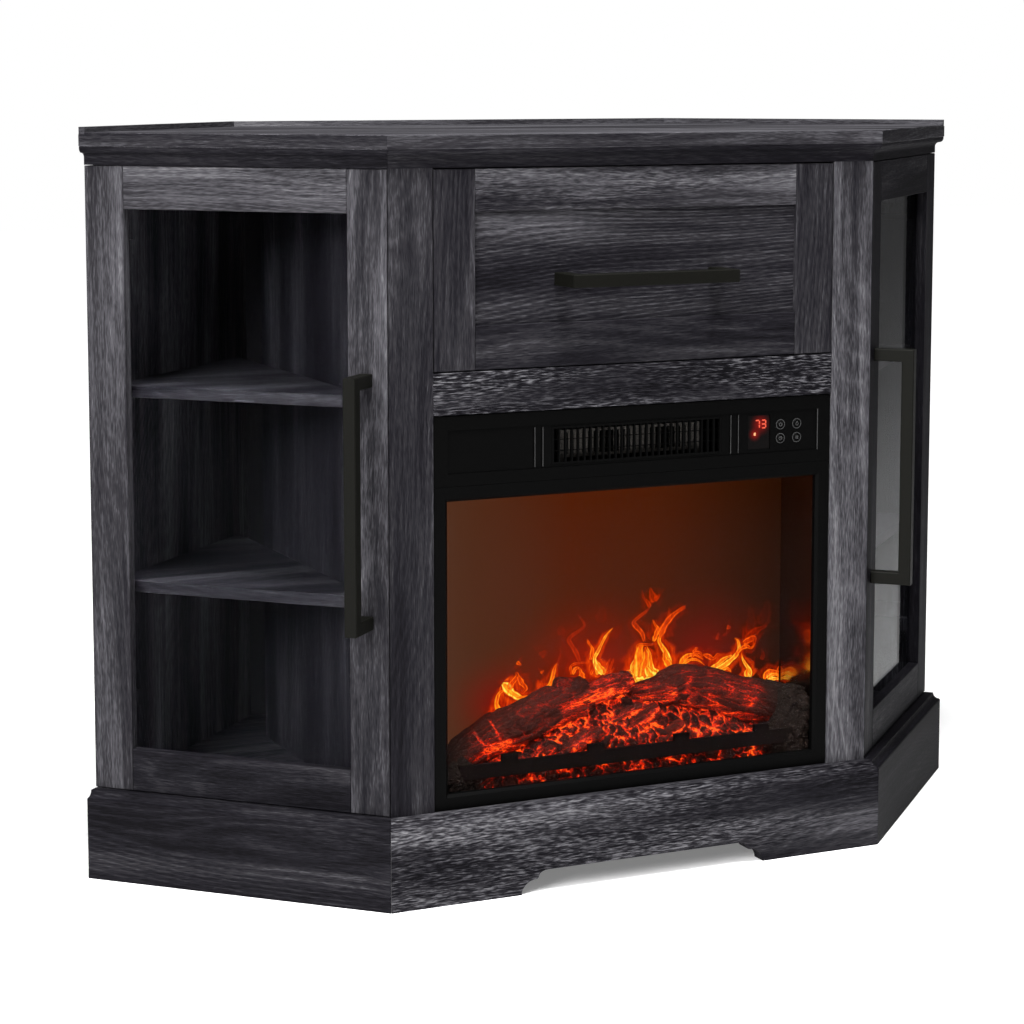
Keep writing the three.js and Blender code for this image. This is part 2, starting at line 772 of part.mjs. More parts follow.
// Drawer: framed front, box with grooved sides, bottom and pull, and the runners it hangs on.
function addDrawer(parent) {
  const panelLow = drawerBottom + drawerBottomRailWidth;
  const panelHigh = drawerTop - drawerTopRailWidth;
  const panelHalf = drawerHalf - drawerStileWidth;
  const lapped = [
    -panelHalf - drawerPanelLap,
    panelHalf + drawerPanelLap,
    panelLow - drawerPanelLap,
    panelHigh + drawerPanelLap,
  ];
  const [x0, x1, z0, z1] = lapped;
  const rebate = block(
    x0 - jointGap,
    x1 + jointGap,
    drawerPanelRecess,
    drawerFrontThickness + cutOverrun,
    z0 - jointGap,
    z1 + jointGap,
  );
  const member = (name, a, b, low, high) => {
    const blank = slab("y", rect(a, b, low, high), 0, drawerFrontThickness, edgeEase);
    piece(parent, "drawer_front_" + name, cut(blank, rebate), laminate);
  };
  member("left_stile", -drawerHalf, -panelHalf, drawerBottom, drawerTop);
  member("right_stile", panelHalf, drawerHalf, drawerBottom, drawerTop);
  member("top_rail", jointGap - panelHalf, panelHalf - jointGap, panelHigh, drawerTop);
  member("bottom_rail", jointGap - panelHalf, panelHalf - jointGap, drawerBottom, panelLow);
  const panel = slab("y", rect(...lapped), drawerPanelRecess, drawerPanelRecess + drawerPanelThickness);
  piece(parent, "drawer_front_panel", panel, laminate);

  const boxFront = drawerFrontThickness;
  const boxRear = boxFront + drawerBoxLength;
  const hollow = block(
    drawerWall - drawerBoxHalfWidth,
    drawerBoxHalfWidth - drawerWall,
    boxFront + drawerWall,
    boxRear - drawerWall,
    drawerBoxBottom - cutOverrun,
    drawerBoxTop + cutOverrun,
  );
  const tongueLow = drawerBoxBottom + runnerRise;
  const tongueTip = drawerBoxHalfWidth - runnerTongueReach;
  const groove = (sign) => {
    const edges = [
      sign * (tongueTip - runnerGap),
      sign * (drawerBoxHalfWidth + cutOverrun),
    ].sort((a, b) => a - b);
    return block(
      ...edges,
      boxFront + drawerWall,
      boxRear + cutOverrun,
      tongueLow - runnerGap,
      tongueLow + runnerTongueHeight + runnerGap,
    );
  };
  const shell = block(
    -drawerBoxHalfWidth,
    drawerBoxHalfWidth,
    boxFront,
    boxRear,
    drawerBoxBottom,
    drawerBoxTop,
  );
  piece(parent, "drawer_box", cut(shell, hollow, groove(1), groove(-1)), laminateDark);
  const bottomHalf = drawerBoxHalfWidth - drawerWall - jointGap;
  const bottomLow = drawerBoxBottom + drawerBottomRise;
  const bottom = block(
    -bottomHalf,
    bottomHalf,
    boxFront + drawerWall + jointGap,
    boxRear - drawerWall - jointGap,
    bottomLow,
    bottomLow + drawerBottomThickness,
  );
  piece(parent, "drawer_bottom", bottom, backBoard);

  const pull = pullOutline(-drawerPullLength / 2, drawerPullLength / 2, drawerPanelRecess);
  const pullLow = (panelLow + panelHigh) / 2 - drawerPullDrop - pullBar / 2;
  piece(parent, "drawer_handle", slab("z", pull, pullLow, pullLow + pullBar, pullEase), blackMetal);

  const bodyInner = drawerBoxHalfWidth + openingGap;
  const runnerLow = tongueLow - (runnerHeight - runnerTongueHeight) / 2;
  const runner = [
    [partitionInnerX, runnerLow],
    [partitionInnerX, runnerLow + runnerHeight],
    [bodyInner, runnerLow + runnerHeight],
    [bodyInner, tongueLow + runnerTongueHeight],
    [tongueTip, tongueLow + runnerTongueHeight],
    [tongueTip, tongueLow],
    [bodyInner, tongueLow],
    [bodyInner, runnerLow],
  ];
  for (const side of ["left", "right"]) {
    const section = side === "left" ? flip(runner) : runner;
    piece(parent, "drawer_runner_" + side, slab("y", section, runnerSetback, boxRear), laminateDark);
  }
}

// Front of the fire: control panel, window frame, panes, grille, display and buttons.
function addFireFront(parent) {
  const panelLow = fireSplitHeight + jointGap;
  const fieldLow = fireSplitHeight + panelFieldBottom;
  const fieldHigh = fireTop - panelFieldTop;
  const fieldHalf = fireHalf - panelFieldSide;
  const fieldFace = fireFaceRecess + panelFieldDepth;
  const fieldMiddle = (fieldLow + fieldHigh) / 2;

  const through = (x0, x1, z0, z1) => block(x0, x1, -cutOverrun, fireBackY + cutOverrun, z0, z1);
  const buttonPlaces = {
    upper_left: [-1, 1],
    upper_right: [1, 1],
    lower_left: [-1, -1],
    lower_right: [1, -1],
  };
  const buttonCentres = Object.fromEntries(
    Object.entries(buttonPlaces).map(([place, [column, row]]) => [
      place,
      [buttonColumnX + (column * buttonPitchX) / 2, fieldMiddle + (row * buttonPitchZ) / 2],
    ]),
  );
  const ringRadius = buttonRadius + buttonClearance + buttonRingWidth;
  const rings = Object.values(buttonCentres).map((centre) =>
    bar("y", ringRadius, centre, fieldFace - buttonRingProud, fieldFace + buttonRingProud, buttonSides),
  );
  const holes = Object.values(buttonCentres).map((centre) =>
    bar("y", buttonRadius + buttonClearance, centre, -cutOverrun, fireBackY + cutOverrun, buttonSides),
  );
  const ribs = ribOffsets.flatMap((offset) =>
    [-1, 1].map((sign) => {
      const x = sign * (grilleHalfWidth + offset);
      return block(
        x - ribWidth / 2,
        x + ribWidth / 2,
        fieldFace - ribProud,
        fieldFace + ribProud,
        fieldLow + ribMargin,
        fieldHigh - ribMargin,
      );
    }),
  );
  const blank = block(-fireHalf, fireHalf, fireFaceRecess, fireBackY, panelLow, fireTop);
  const field = block(-fieldHalf, fieldHalf, -cutOverrun, fieldFace, fieldLow, fieldHigh);
  const grilleLow = fieldLow + grilleTopMargin;
  const grilleHigh = fieldHigh - grilleTopMargin;
  const displaySpan = [displayCentreX - displayWidth / 2, displayCentreX + displayWidth / 2];
  const displayRise = [fieldLow + displayMargin, fieldHigh - displayMargin];
  const displayFace = fieldFace + displaySink;
  const displayPocket = block(...displaySpan, -cutOverrun, displayFace + displayThickness, ...displayRise);
  const plate = cut(
    join(cut(blank, field), ...rings, ...ribs),
    through(-grilleHalfWidth, grilleHalfWidth, grilleLow, grilleHigh),
    displayPocket,
    ...holes,
  );
  piece(parent, "control_panel", plate, blackSatin);

  const lens = block(
    displaySpan[0] + jointGap,
    displaySpan[1] - jointGap,
    displayFace,
    displayFace + displayThickness,
    displayRise[0] + jointGap,
    displayRise[1] - jointGap,
  );
  piece(parent, "display_lens", lens, displayLens);

  for (const [place, centre] of Object.entries(buttonCentres)) {
    const cap = new THREE.LatheGeometry(
      [
        [0, buttonRingProud / 2],
        [buttonRadius - buttonRingProud, 0],
        [buttonRadius, buttonRingProud],
        [buttonRadius, buttonLength],
        [0, buttonLength],
      ].map(([r, h]) => new THREE.Vector2(r, h)),
      buttonSides,
    );
    cap.translate(centre[0], fieldFace - buttonProud, centre[1]);
    piece(parent, "button_" + place, cap, blackSatin);
  }

  // Grille: a plate of upright slots with two wires across its back.
  const slotLow = grilleLow + grilleBorder;
  const slotHigh = grilleHigh - grilleBorder;
  const slotSpan = 2 * (grilleHalfWidth - grilleBorder);
  const pitch = (slotSpan + grilleBarWidth) / (grilleBarCount + 1);
  const slots = Array.from({ length: grilleBarCount + 1 }, (_, i) => {
    const x = grilleBorder - grilleHalfWidth + i * pitch;
    return through(x, x + pitch - grilleBarWidth, slotLow, slotHigh);
  });
  const grilleBack = fieldFace + grilleDepth;
  const bars = block(
    jointGap - grilleHalfWidth,
    grilleHalfWidth - jointGap,
    fieldFace,
    grilleBack,
    grilleLow + jointGap,
    grilleHigh - jointGap,
  );
  const wires = [1, 2].map((i) => {
    const z = slotLow + ((slotHigh - slotLow) * i) / 3;
    return block(
      grilleBorder / 2 - grilleHalfWidth,
      grilleHalfWidth - grilleBorder / 2,
      grilleBack - grilleWireThickness,
      grilleBack,
      z - grilleWireThickness / 2,
      z + grilleWireThickness / 2,
    );
  });
  piece(parent, "outlet_grille", join(cut(bars, ...slots), ...wires), blackSatin);

  // Window frame with a bevel round the opening, and the pane behind it.
  const windowLow = fireBottom + fireWindowBottom;
  const windowHigh = fireSplitHeight - fireWindowTop;
  const windowHalf = fireHalf - fireWindowSide;
  const frame = block(-fireHalf, fireHalf, fireFaceRecess, fireBackY, fireBottom, fireSplitHeight);
  const window = through(-windowHalf, windowHalf, windowLow, windowHigh);
  const bevelOutline = (grow) => rect(
    -windowHalf - grow,
    windowHalf + grow,
    windowLow - grow,
    windowHigh + grow,
  );
  const bevel = slab(
    "y",
    bevelOutline(fireWindowBevel),
    fireFaceRecess - fireWindowBevel,
    fireFaceRecess + fireWindowBevel,
    fireWindowBevel * (1 - 1 / 64),
  );
  piece(parent, "window_frame", cut(frame, window, bevel), blackSatin);
  const pane = slab(
    "y",
    bevelOutline(fireGlassLap),
    fireBackY + jointGap,
    fireBackY + jointGap + fireGlassThickness,
  );
  piece(parent, "fire_glass", pane, clearGlass);
}

// A turning shaft's supports: a bearing at each end on an upright plate, and a motor beyond one of them.
function shaftSupports(centre, half, foot) {
  const bearings = [-1, 1].map((sign) => {
    const ends = [sign * half, sign * (half + bearingLength)].sort((a, b) => a - b);
    return bar("x", bearingRadius, centre, ...ends);
  });
  const plates = [-1, 1].map((sign) => {
    const reach = sign * (half + bearingLength / 2);
    const [front, rear] = [centre[0] - bearingRadius, centre[0] + bearingRadius];
    return block(reach - fireHousingWall / 2, reach + fireHousingWall / 2, front, rear, foot, centre[1]);
  });
  const motorStart = half + bearingLength - jointGap;
  const motor = bar("x", motorRadius, centre, motorStart, motorStart + motorLength);
  const boreEnd = half + bearingLength - jointGap;
  return {
    solids: [...bearings, ...plates, motor],
    bore: bar("x", spindleShaftRadius + shaftClearance, centre, -boreEnd, boreEnd),
  };
}

// Cases of the fire: a lower one round the flames, and an upper one round the heater and blower.
function addFireCases(parent) {
  const low = fireBottom - jointGap;
  const high = fireTop - jointGap;
  const rear = fireBackY + fireHousingDepth;
  const innerHalf = housingHalf - fireHousingWall;
  const innerRear = rear - fireHousingWall;
  const openCase = (bottom, top) =>
    cut(
      block(-housingHalf, housingHalf, fireBackY, rear, bottom, top),
      block(
        -innerHalf,
        innerHalf,
        -cutOverrun,
        innerRear,
        bottom + fireHousingWall,
        top - fireHousingWall,
      ),
    );

  const bushPlace = [cordBushX, low + cordBushHeight];
  const bush = bar("y", cordBushRadius, bushPlace, innerRear, rear + cordBushLength);
  const bushBore = bar(
    "y",
    cordBushRadius / 2,
    bushPlace,
    innerRear - cutOverrun,
    rear + 2 * cordBushLength,
  );
  const lower = shaftSupports([spindleDepth, low + spindleHeight], spindleHalfLength, low);
  const fireBox = join(openCase(low, fireDividerHeight + fireHousingWall), ...lower.solids, bush);
  piece(parent, "fire_housing", cut(fireBox, lower.bore, bushBore), sheetSteel);

  const caseLow = fireDividerHeight + fireHousingWall;
  const ventMiddle = (caseLow + high) / 2;
  const vents = Array.from({ length: ventCount }, (_, i) => {
    const x = (i - (ventCount - 1) / 2) * ventPitch;
    return block(
      x - ventWidth / 2,
      x + ventWidth / 2,
      innerRear - cutOverrun,
      rear + cutOverrun,
      ventMiddle - ventHeight / 2,
      ventMiddle + ventHeight / 2,
    );
  });
  const upper = shaftSupports([blowerDepth, blowerHeight()], blowerHalfLength, caseLow);
  const heatCase = join(cut(openCase(caseLow, high), ...vents), ...upper.solids);
  piece(parent, "heater_case", cut(heatCase, upper.bore), sheetSteel);
}

const blowerHeight = () => (fireDividerHeight + fireHousingWall + fireTop - jointGap) / 2;

// Heater: a frame of insulating board with upright coils of resistance wire.
function addHeater(parent) {
  const front = fireBackY + heaterSetback;
  const middle = blowerHeight();
  const [low, high] = [middle - heaterHeight / 2, middle + heaterHeight / 2];
  const rear = front + heaterFrameDepth;
  const outer = block(
    -heaterHalfWidth,
    heaterHalfWidth,
    front,
    rear,
    low - heaterFrameThickness,
    high + heaterFrameThickness,
  );
  const open = block(
    heaterFrameThickness - heaterHalfWidth,
    heaterHalfWidth - heaterFrameThickness,
    front - cutOverrun,
    rear + cutOverrun,
    low,
    high,
  );
  const pitch = (2 * heaterHalfWidth) / (heaterCoilCount + 1);
  const coils = Array.from({ length: heaterCoilCount }, (_, i) => {
    const x = (i + 1) * pitch - heaterHalfWidth;
    const y = (front + rear) / 2;
    return block(
      x - heaterCoilWidth / 2,
      x + heaterCoilWidth / 2,
      y - heaterCoilDepth / 2,
      y + heaterCoilDepth / 2,
      low - heaterFrameThickness / 2,
      high + heaterFrameThickness / 2,
    );
  });
  const caseFloor = fireDividerHeight + 2 * fireHousingWall;
  const feet = [-1, 1].map((sign) => {
    const x = sign * (heaterHalfWidth - heaterFrameThickness);
    return block(
      x - heaterFrameThickness,
      x + heaterFrameThickness,
      front,
      rear,
      caseFloor,
      low - heaterFrameThickness / 2,
    );
  });
  piece(parent, "heater_element", join(cut(outer, open), ...coils, ...feet), heatingWire);
}

// Blower drum: blades leaning round three discs on a shaft.
function addBlower(parent) {
  const centre = [blowerDepth, blowerHeight()];
  const discs = [-1, 0, 1].map((k) => {
    const x = k * (blowerHalfLength - shaftClearance - blowerDiscThickness);
    return bar("x", blowerRadius, centre, x - blowerDiscThickness / 2, x + blowerDiscThickness / 2);
  });
  const shaftEnd = blowerHalfLength + bearingLength - 2 * jointGap;
  const shaft = bar("x", spindleShaftRadius, centre, -shaftEnd, shaftEnd, 12);
  const reach = blowerHalfLength - shaftClearance - blowerDiscThickness;
  const blades = Array.from({ length: blowerBladeCount }, (_, i) => {
    const blade = new THREE.BoxGeometry(2 * reach, blowerBladeThickness, blowerBladeWidth);
    blade.rotateX(2 * Math.PI * blowerBladeLeanTurnShare);
    blade.translate(0, 0, blowerRadius - blowerBladeWidth / 2);
    blade.rotateX((2 * Math.PI * i) / blowerBladeCount);
    return blade.translate(0, centre[0], centre[1]);
  });
  piece(parent, "blower_drum", join(shaft, ...discs, ...blades), sheetSteel);
}

// Flame spindle: a rod with mirror blades, each turned on from the last.
function addSpindle(parent) {
  const centre = [spindleDepth, fireBottom - jointGap + spindleHeight];
  const shaftEnd = spindleHalfLength + bearingLength - 2 * jointGap;
  const rod = bar("x", spindleShaftRadius, centre, -shaftEnd, shaftEnd, 12);
  const span = 2 * (spindleHalfLength - mirrorBladeLength);
  const blades = Array.from({ length: mirrorBladeCount }, (_, i) => {
    const blade = new THREE.BoxGeometry(mirrorBladeLength, mirrorBladeThickness, mirrorBladeWidth);
    blade.rotateX(i * mirrorBladeTurn);
    return blade.translate((span * i) / (mirrorBladeCount - 1) - span / 2, centre[0], centre[1]);
  });
  piece(parent, "flame_spindle", join(rod, ...blades), mirrorSteel);
}

// A log: a tapering round that runs from one place to another, with a slight swell along it.
function log(from, to, startRadius, endRadius, sides = 14) {
  const [a, b] = [new THREE.Vector3(...from), new THREE.Vector3(...to)];
  const length = a.distanceTo(b);
  const swell = (t) => 1 + 0.08 * Math.sin(7 * t + startRadius);
  const rings = 6;
  const profile = [[0, 0]];
  for (let i = 0; i <= rings; i++) {
    const t = i / rings;
    profile.push([THREE.MathUtils.lerp(startRadius, endRadius, t) * swell(t), t * length]);
  }
  profile.push([0, length]);
  const geometry = new THREE.LatheGeometry(profile.map(([r, h]) => new THREE.Vector2(r, h)), sides);
  const turn = new THREE.Quaternion().setFromUnitVectors(
    new THREE.Vector3(0, 1, 0),
    b.clone().sub(a).normalize(),
  );
  return geometry.applyQuaternion(turn).translate(a.x, a.y, a.z);
}

// Log bed, one moulding: a base with a mound of embers, crossed logs, a stone lump at each end,
// and a grate in front, which is a bar on two legs with square studs on top.
function addLogBed(parent) {
  const front = fireBackY + fireGlassThickness + bedFrontGap;
  const rear = front + bedDepth;
  const low = fireBottom - jointGap + fireHousingWall + bedRise;
  const half = housingHalf - fireHousingWall - bedSideGap;
  const middle = (front + rear) / 2;
  const base = block(-half, half, front, rear, low, low + bedBaseThickness);

  // Places on the bed: x as a share of its half width, y of its depth, z of the ember height.
  const at = (xShare, yShare, zShare) => [
    xShare * half,
    front + yShare * bedDepth,
    low + zShare * bedEmberHeight,
  ];
  const mound = new THREE.SphereGeometry(1, 20, 12);
  mound.scale(bedEmberHalfWidth, bedDepth / 2, bedEmberHeight);
  mound.translate(0, middle, low);
  const logRadius = bedEmberHeight / 3.4;
  const logs = [
    log(at(-0.93, 0.5, 0.45), at(-0.2, 0.55, 1.32), logRadius, logRadius * 0.86),
    log(at(-0.42, 0.68, 1.05), at(0.06, 0.62, 1.64), logRadius * 0.8, logRadius * 0.66),
    log(at(-0.22, 0.45, 0.85), at(0.22, 0.5, 1.4), logRadius * 0.72, logRadius * 0.6),
    log(at(0.14, 0.6, 1.15), at(0.5, 0.62, 1.52), logRadius * 0.7, logRadius * 0.85),
    log(at(0.38, 0.6, 1.5), at(0.94, 0.55, 0.9), logRadius, logRadius * 1.05),
    log(at(-0.72, 0.35, 0.3), at(-0.75, 0.4, 1.0), logRadius * 0.62, logRadius * 0.6),
  ];
  const stone = (xShare, width, height) => {
    const lump = new THREE.IcosahedronGeometry(1, 1);
    lump.scale(width, bedDepth * 0.4, height);
    return lump.translate(xShare * half, middle, low);
  };
  const stones = [
    stone(-0.82, half * 0.16, bedEmberHeight * 0.8),
    stone(0.84, half * 0.15, bedEmberHeight * 1.25),
  ];
  const bed = [mound, ...logs, ...stones].map(bodyOf).reduce((a, b) => a.add(b), bodyOf(base));
  const keep = block(-half, half, front, rear, low, fireDividerHeight);
  const embers = geometryOf(bed.intersect(bodyOf(keep)));

  const barLow = low + grateHeight;
  const barTop = barLow + grateBarHeight;
  const grateFront = front - grateBarDepth;
  const legs = [-1, 1].map((sign) => {
    const x = sign * (grateHalfLength - grateLegWidth);
    return block(x - grateLegWidth / 2, x + grateLegWidth / 2, grateFront, front + edgeEase, low, barTop);
  });
  const studs = grateStudOffsets.map((x) => {
    const top = barTop + grateStudRise;
    return block(x - grateStudWidth / 2, x + grateStudWidth / 2, grateFront, front, barLow, top);
  });
  const rod = block(-grateHalfLength, grateHalfLength, grateFront, front, barLow, barTop);
  piece(parent, "log_bed", join(embers, rod, ...legs, ...studs), logResin);
}

function addScreen(parent) {
  const half = housingHalf - fireHousingWall - jointGap;
  const front = fireBackY + screenDepth;
  const low = fireBottom - jointGap + fireHousingWall + jointGap;
  const screen = block(-half, half, front, front + screenThickness, low, fireDividerHeight - jointGap);
  piece(parent, "flame_screen", screen, smokedScreen);
}

// The whole stand, moved so that its footprint is centred on the origin.
const stand = new THREE.Group();
stand.position.y = (frontMost - rearY) / 2;
addTop(stand);
addPlinth(stand);
addMiddle(stand);
for (const side of ["left", "right"]) {
  addCupboard(stand, side);
  addDoor(stand, side);
}
addDrawer(stand);
addFireFront(stand);
addFireCases(stand);
addHeater(stand);
addBlower(stand);
addSpindle(stand);
addLogBed(stand);
addScreen(stand);

export default stand;
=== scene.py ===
# %% [markdown]
# # A corner television stand with an electric fire
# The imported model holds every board, door, hinge and sheet-metal case at its real size. It is loaded
# first and never moved. This lesson dresses it: charcoal wood-grain laminate, matt black metal, clear
# panes, and behind the lower pane a moulded bed of logs with a picture of flames on a screen.

# %% Load the frame and keep its box
import math
from functools import reduce

import bpy
import numpy as np
from mathutils import Matrix, Vector


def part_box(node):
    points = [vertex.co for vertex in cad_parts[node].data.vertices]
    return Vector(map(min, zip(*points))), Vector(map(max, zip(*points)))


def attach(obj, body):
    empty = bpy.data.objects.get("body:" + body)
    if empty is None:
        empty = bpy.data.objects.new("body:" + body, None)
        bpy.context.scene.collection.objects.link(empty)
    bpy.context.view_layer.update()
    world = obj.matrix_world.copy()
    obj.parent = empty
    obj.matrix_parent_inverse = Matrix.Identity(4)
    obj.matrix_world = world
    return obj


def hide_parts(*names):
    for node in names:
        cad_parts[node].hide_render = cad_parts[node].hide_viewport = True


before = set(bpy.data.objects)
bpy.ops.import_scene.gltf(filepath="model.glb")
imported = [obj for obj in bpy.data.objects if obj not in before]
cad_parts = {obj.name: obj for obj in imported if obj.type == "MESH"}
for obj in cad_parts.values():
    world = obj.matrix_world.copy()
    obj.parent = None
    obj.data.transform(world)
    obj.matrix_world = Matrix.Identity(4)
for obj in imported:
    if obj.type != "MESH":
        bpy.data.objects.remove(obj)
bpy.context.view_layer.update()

MM = 0.001
CABINET = "cabinet"

# %% [markdown]
# ## Camera
# The photograph was taken from the left of the front, a little above the middle, with a long lens and the
# picture shifted so that the uprights stay nearly upright. The place and the angles were fitted to the
# corners of the top, the doors and the plinth. The camera comes first, because pieces that are placed by
# a pixel of the photograph are found by following a line of sight through it.

# %% Camera
CAMERA_PLACE = np.array([-1.31634, -2.74650, 0.87557])
CAMERA_YAW, CAMERA_PITCH = math.radians(24.817), math.radians(6.773)
LENS_MM, SENSOR_MM, LENS_SHIFT = 92.92, 36.0, -0.12
NEAREST, FARTHEST = 0.05, 100.0
PHOTO_SIDE = 1024


def placed(name, data):
    """A new object in the scene, for a mesh, a lamp or a camera."""
    made = bpy.data.objects.new(name, data)
    bpy.context.scene.collection.objects.link(made)
    return made


camera_data = bpy.data.cameras.new("photo_camera")
camera_data.lens, camera_data.sensor_width, camera_data.shift_y = LENS_MM, SENSOR_MM, LENS_SHIFT
camera_data.clip_start, camera_data.clip_end = NEAREST, FARTHEST
camera = placed("photo_camera", camera_data)
camera.location = CAMERA_PLACE
camera.rotation_euler = (math.pi / 2 - CAMERA_PITCH, 0.0, -CAMERA_YAW)
bpy.context.scene.camera = camera
print("camera at", tuple(camera.location), "lens", LENS_MM)

# %% Follow a line of sight
SIGHT = np.array([math.sin(CAMERA_YAW) * math.cos(CAMERA_PITCH),
                  math.cos(CAMERA_YAW) * math.cos(CAMERA_PITCH),
                  -math.sin(CAMERA_PITCH)])
RIGHT = np.array([math.cos(CAMERA_YAW), -math.sin(CAMERA_YAW), 0.0])
UP = np.cross(RIGHT, SIGHT)


def at_depth(pixels, depth):
    """Where lines of sight meet the upright plane y = depth.

    A pixel (column, row) looks along sight + right * a + up * b, where a and b are its distance from the
    middle of the picture over the focal length in pixels. The line is followed until its y is the depth.
    """
    focal = LENS_MM / SENSOR_MM * PHOTO_SIDE
    pixels = np.asarray(pixels, float)
    across = (pixels[:, 0] - PHOTO_SIDE / 2) / focal
    down = (pixels[:, 1] - PHOTO_SIDE / 2 - LENS_SHIFT * PHOTO_SIDE) / focal
    rays = SIGHT + across[:, None] * RIGHT - down[:, None] * UP
    return CAMERA_PLACE + rays * ((depth - CAMERA_PLACE[1]) / rays[:, 1])[:, None]


PANE_PIXELS = [(448.6, 799.2), (817.0, 471.2)]
fire_low, fire_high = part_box("fire_glass")
corners = at_depth(PANE_PIXELS, fire_low.y)
print("pane by the frame", tuple(fire_low), tuple(fire_high), "by the photograph", corners.tolist())

# %% [markdown]
# ## Tools for shader trees
# Every finish below is a small tree of nodes. These helpers make one node in one call, so that a finish
# reads as a list of steps. A number that is the same all over a surface is set on the shader itself.

# %% Shader helpers
def tint(colour):
    """The linear values that a shader takes, for a screen's #rrggbb or for a number, a linear grey."""
    if not isinstance(colour, str):
        return (colour, colour, colour, 1.0)
    parts = [int(colour[i:i + 2], 16) / 255 for i in (1, 3, 5)]
    return tuple(c / 12.92 if c < 0.04045 else ((c + 0.055) / 1.055) ** 2.4 for c in parts) + (1.0,)


def feed(made, inputs):
    """Fills a node's inputs, each with another node's output, a colour written #rrggbb, or a value."""
    for name, value in dict(inputs).items():
        if isinstance(value, bpy.types.NodeSocket):
            made.id_data.links.new(value, made.inputs[name])
        else:
            made.inputs[name].default_value = tint(value) if isinstance(value, str) else value


def node(kind, inputs=(), out=0, tree=None, **settings):
    """One shader node with its settings and inputs. It gives the output that the next step takes.

    It joins the tree of the sockets that it takes. A node that takes none is given its tree.
    """
    sockets = [value for value in dict(inputs).values() if isinstance(value, bpy.types.NodeSocket)]
    made = (tree or sockets[0].id_data).nodes.new("ShaderNode" + kind)
    for name, value in settings.items():
        setattr(made, name, value)
    feed(made, inputs)
    return made.outputs[out]


def calc(operation, first, second=0.0, clamp=False):
    """A Math node: the operation on one or two numbers."""
    return node("Math", {0: first, 1: second}, operation=operation, use_clamp=clamp)


def plus(*parts):
    """The sum of its parts."""
    return reduce(lambda total, part: calc("ADD", total, part), parts)


def times(*parts):
    """The product of its parts."""
    return reduce(lambda total, part: calc("MULTIPLY", total, part), parts)


def vector(operation, first, second=(0.0, 0.0, 0.0)):
    """A Vector Math node. A dot product and a length come out as numbers, all else as vectors."""
    out = 1 if operation in ("DOT_PRODUCT", "LENGTH") else 0
    return node("VectorMath", {0: first, 1: second}, out, operation=operation)


def stretch(place, scale):
    """A place multiplied part by part, which makes a pattern finer along the larger numbers."""
    return vector("MULTIPLY", place, scale)


def noise(place, scale=1.0, detail=2.0, rough=0.5, out=0):
    """Blender's noise, 0 to 1 and mostly near a half."""
    inputs = {"Vector": place, "Scale": scale, "Detail": detail, "Roughness": rough}
    return node("TexNoise", inputs, out)


def ramp(factor, stops):
    """A colour ramp from pairs of place and colour."""
    colour = node("ValToRGB", {0: factor})
    elements = colour.node.color_ramp.elements
    while len(elements) < len(stops):
        elements.new(1.0)
    for element, (place, stop) in zip(elements, stops):
        element.position, element.color = place, tint(stop)
    return colour


def mix(factor, first, second):
    """Two colours mixed by a factor."""
    return node("Mix", {0: factor, 6: first, 7: second}, 2, data_type="RGBA")


def spread(value, low, high, to_low=0.0, to_high=1.0):
    """A number's range moved onto another range, and held at its ends."""
    return node("MapRange", {0: value, 1: low, 2: high, 3: to_low, 4: to_high})


def bump(height, distance):
    """The normal tilted by a height from 0 to 1 that stands for a real distance in metres."""
    return node("Bump", {"Height": height, "Distance": distance, "Strength": 1.0})


def stored(place, key):
    """A value that a mesh keeps for each of its points, in the tree of the place."""
    return node("Attribute", out=2, tree=place.id_data, attribute_name=key)


def pooled(place, colour, pools, power):
    """A colour with round pools of light on it, each given by its middle (x, z), two radii and colour.

    A pool's share is one less the distance from its middle, measured in its radii, to a power.
    """
    for (x, z), (wide, high), light in pools:
        offset = vector("SUBTRACT", place, (x, 0.0, z))
        reach = vector("LENGTH", stretch(offset, (1.0 / wide, 0.0, 1.0 / high)))
        share = calc("POWER", spread(reach, 0.1, 1.0, 1.0, 0.0), power)
        colour = mix(share, colour, light)
    return colour


def finish_named(name, kind="BsdfPrincipled"):
    """A new material with the shader node that ends it, and its Object coordinates."""
    material = bpy.data.materials.new(name)
    material.use_nodes = True
    tree = material.node_tree
    tree.nodes.clear()
    shader = tree.nodes.new("ShaderNode" + kind)
    feed(tree.nodes.new("ShaderNodeOutputMaterial"), {0: shader.outputs[0]})
    return material, shader, node("TexCoord", out="Object", tree=tree)


def coat(name, material):
    """Gives a node of the frame its finish, in place of the plain one that it was packed with."""
    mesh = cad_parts[name].data
    mesh.materials.clear()
    mesh.materials.append(material)


# %% [markdown]
# ## Charcoal wood-grain laminate
# The boards are chipboard in a printed paper. The print shows wide soft bands, long streaks, growth lines
# that close into arches where the saw met a bend of the trunk, and on some boards a patch of short
# embossed dashes. Growth lines are contour lines: a slow noise is a hilly height, and a line is drawn at
# every so many steps up it. Each board gets its own place in the pattern and its own grain direction,
# because on real boards the grain runs along the longer side and no two neighbours match.

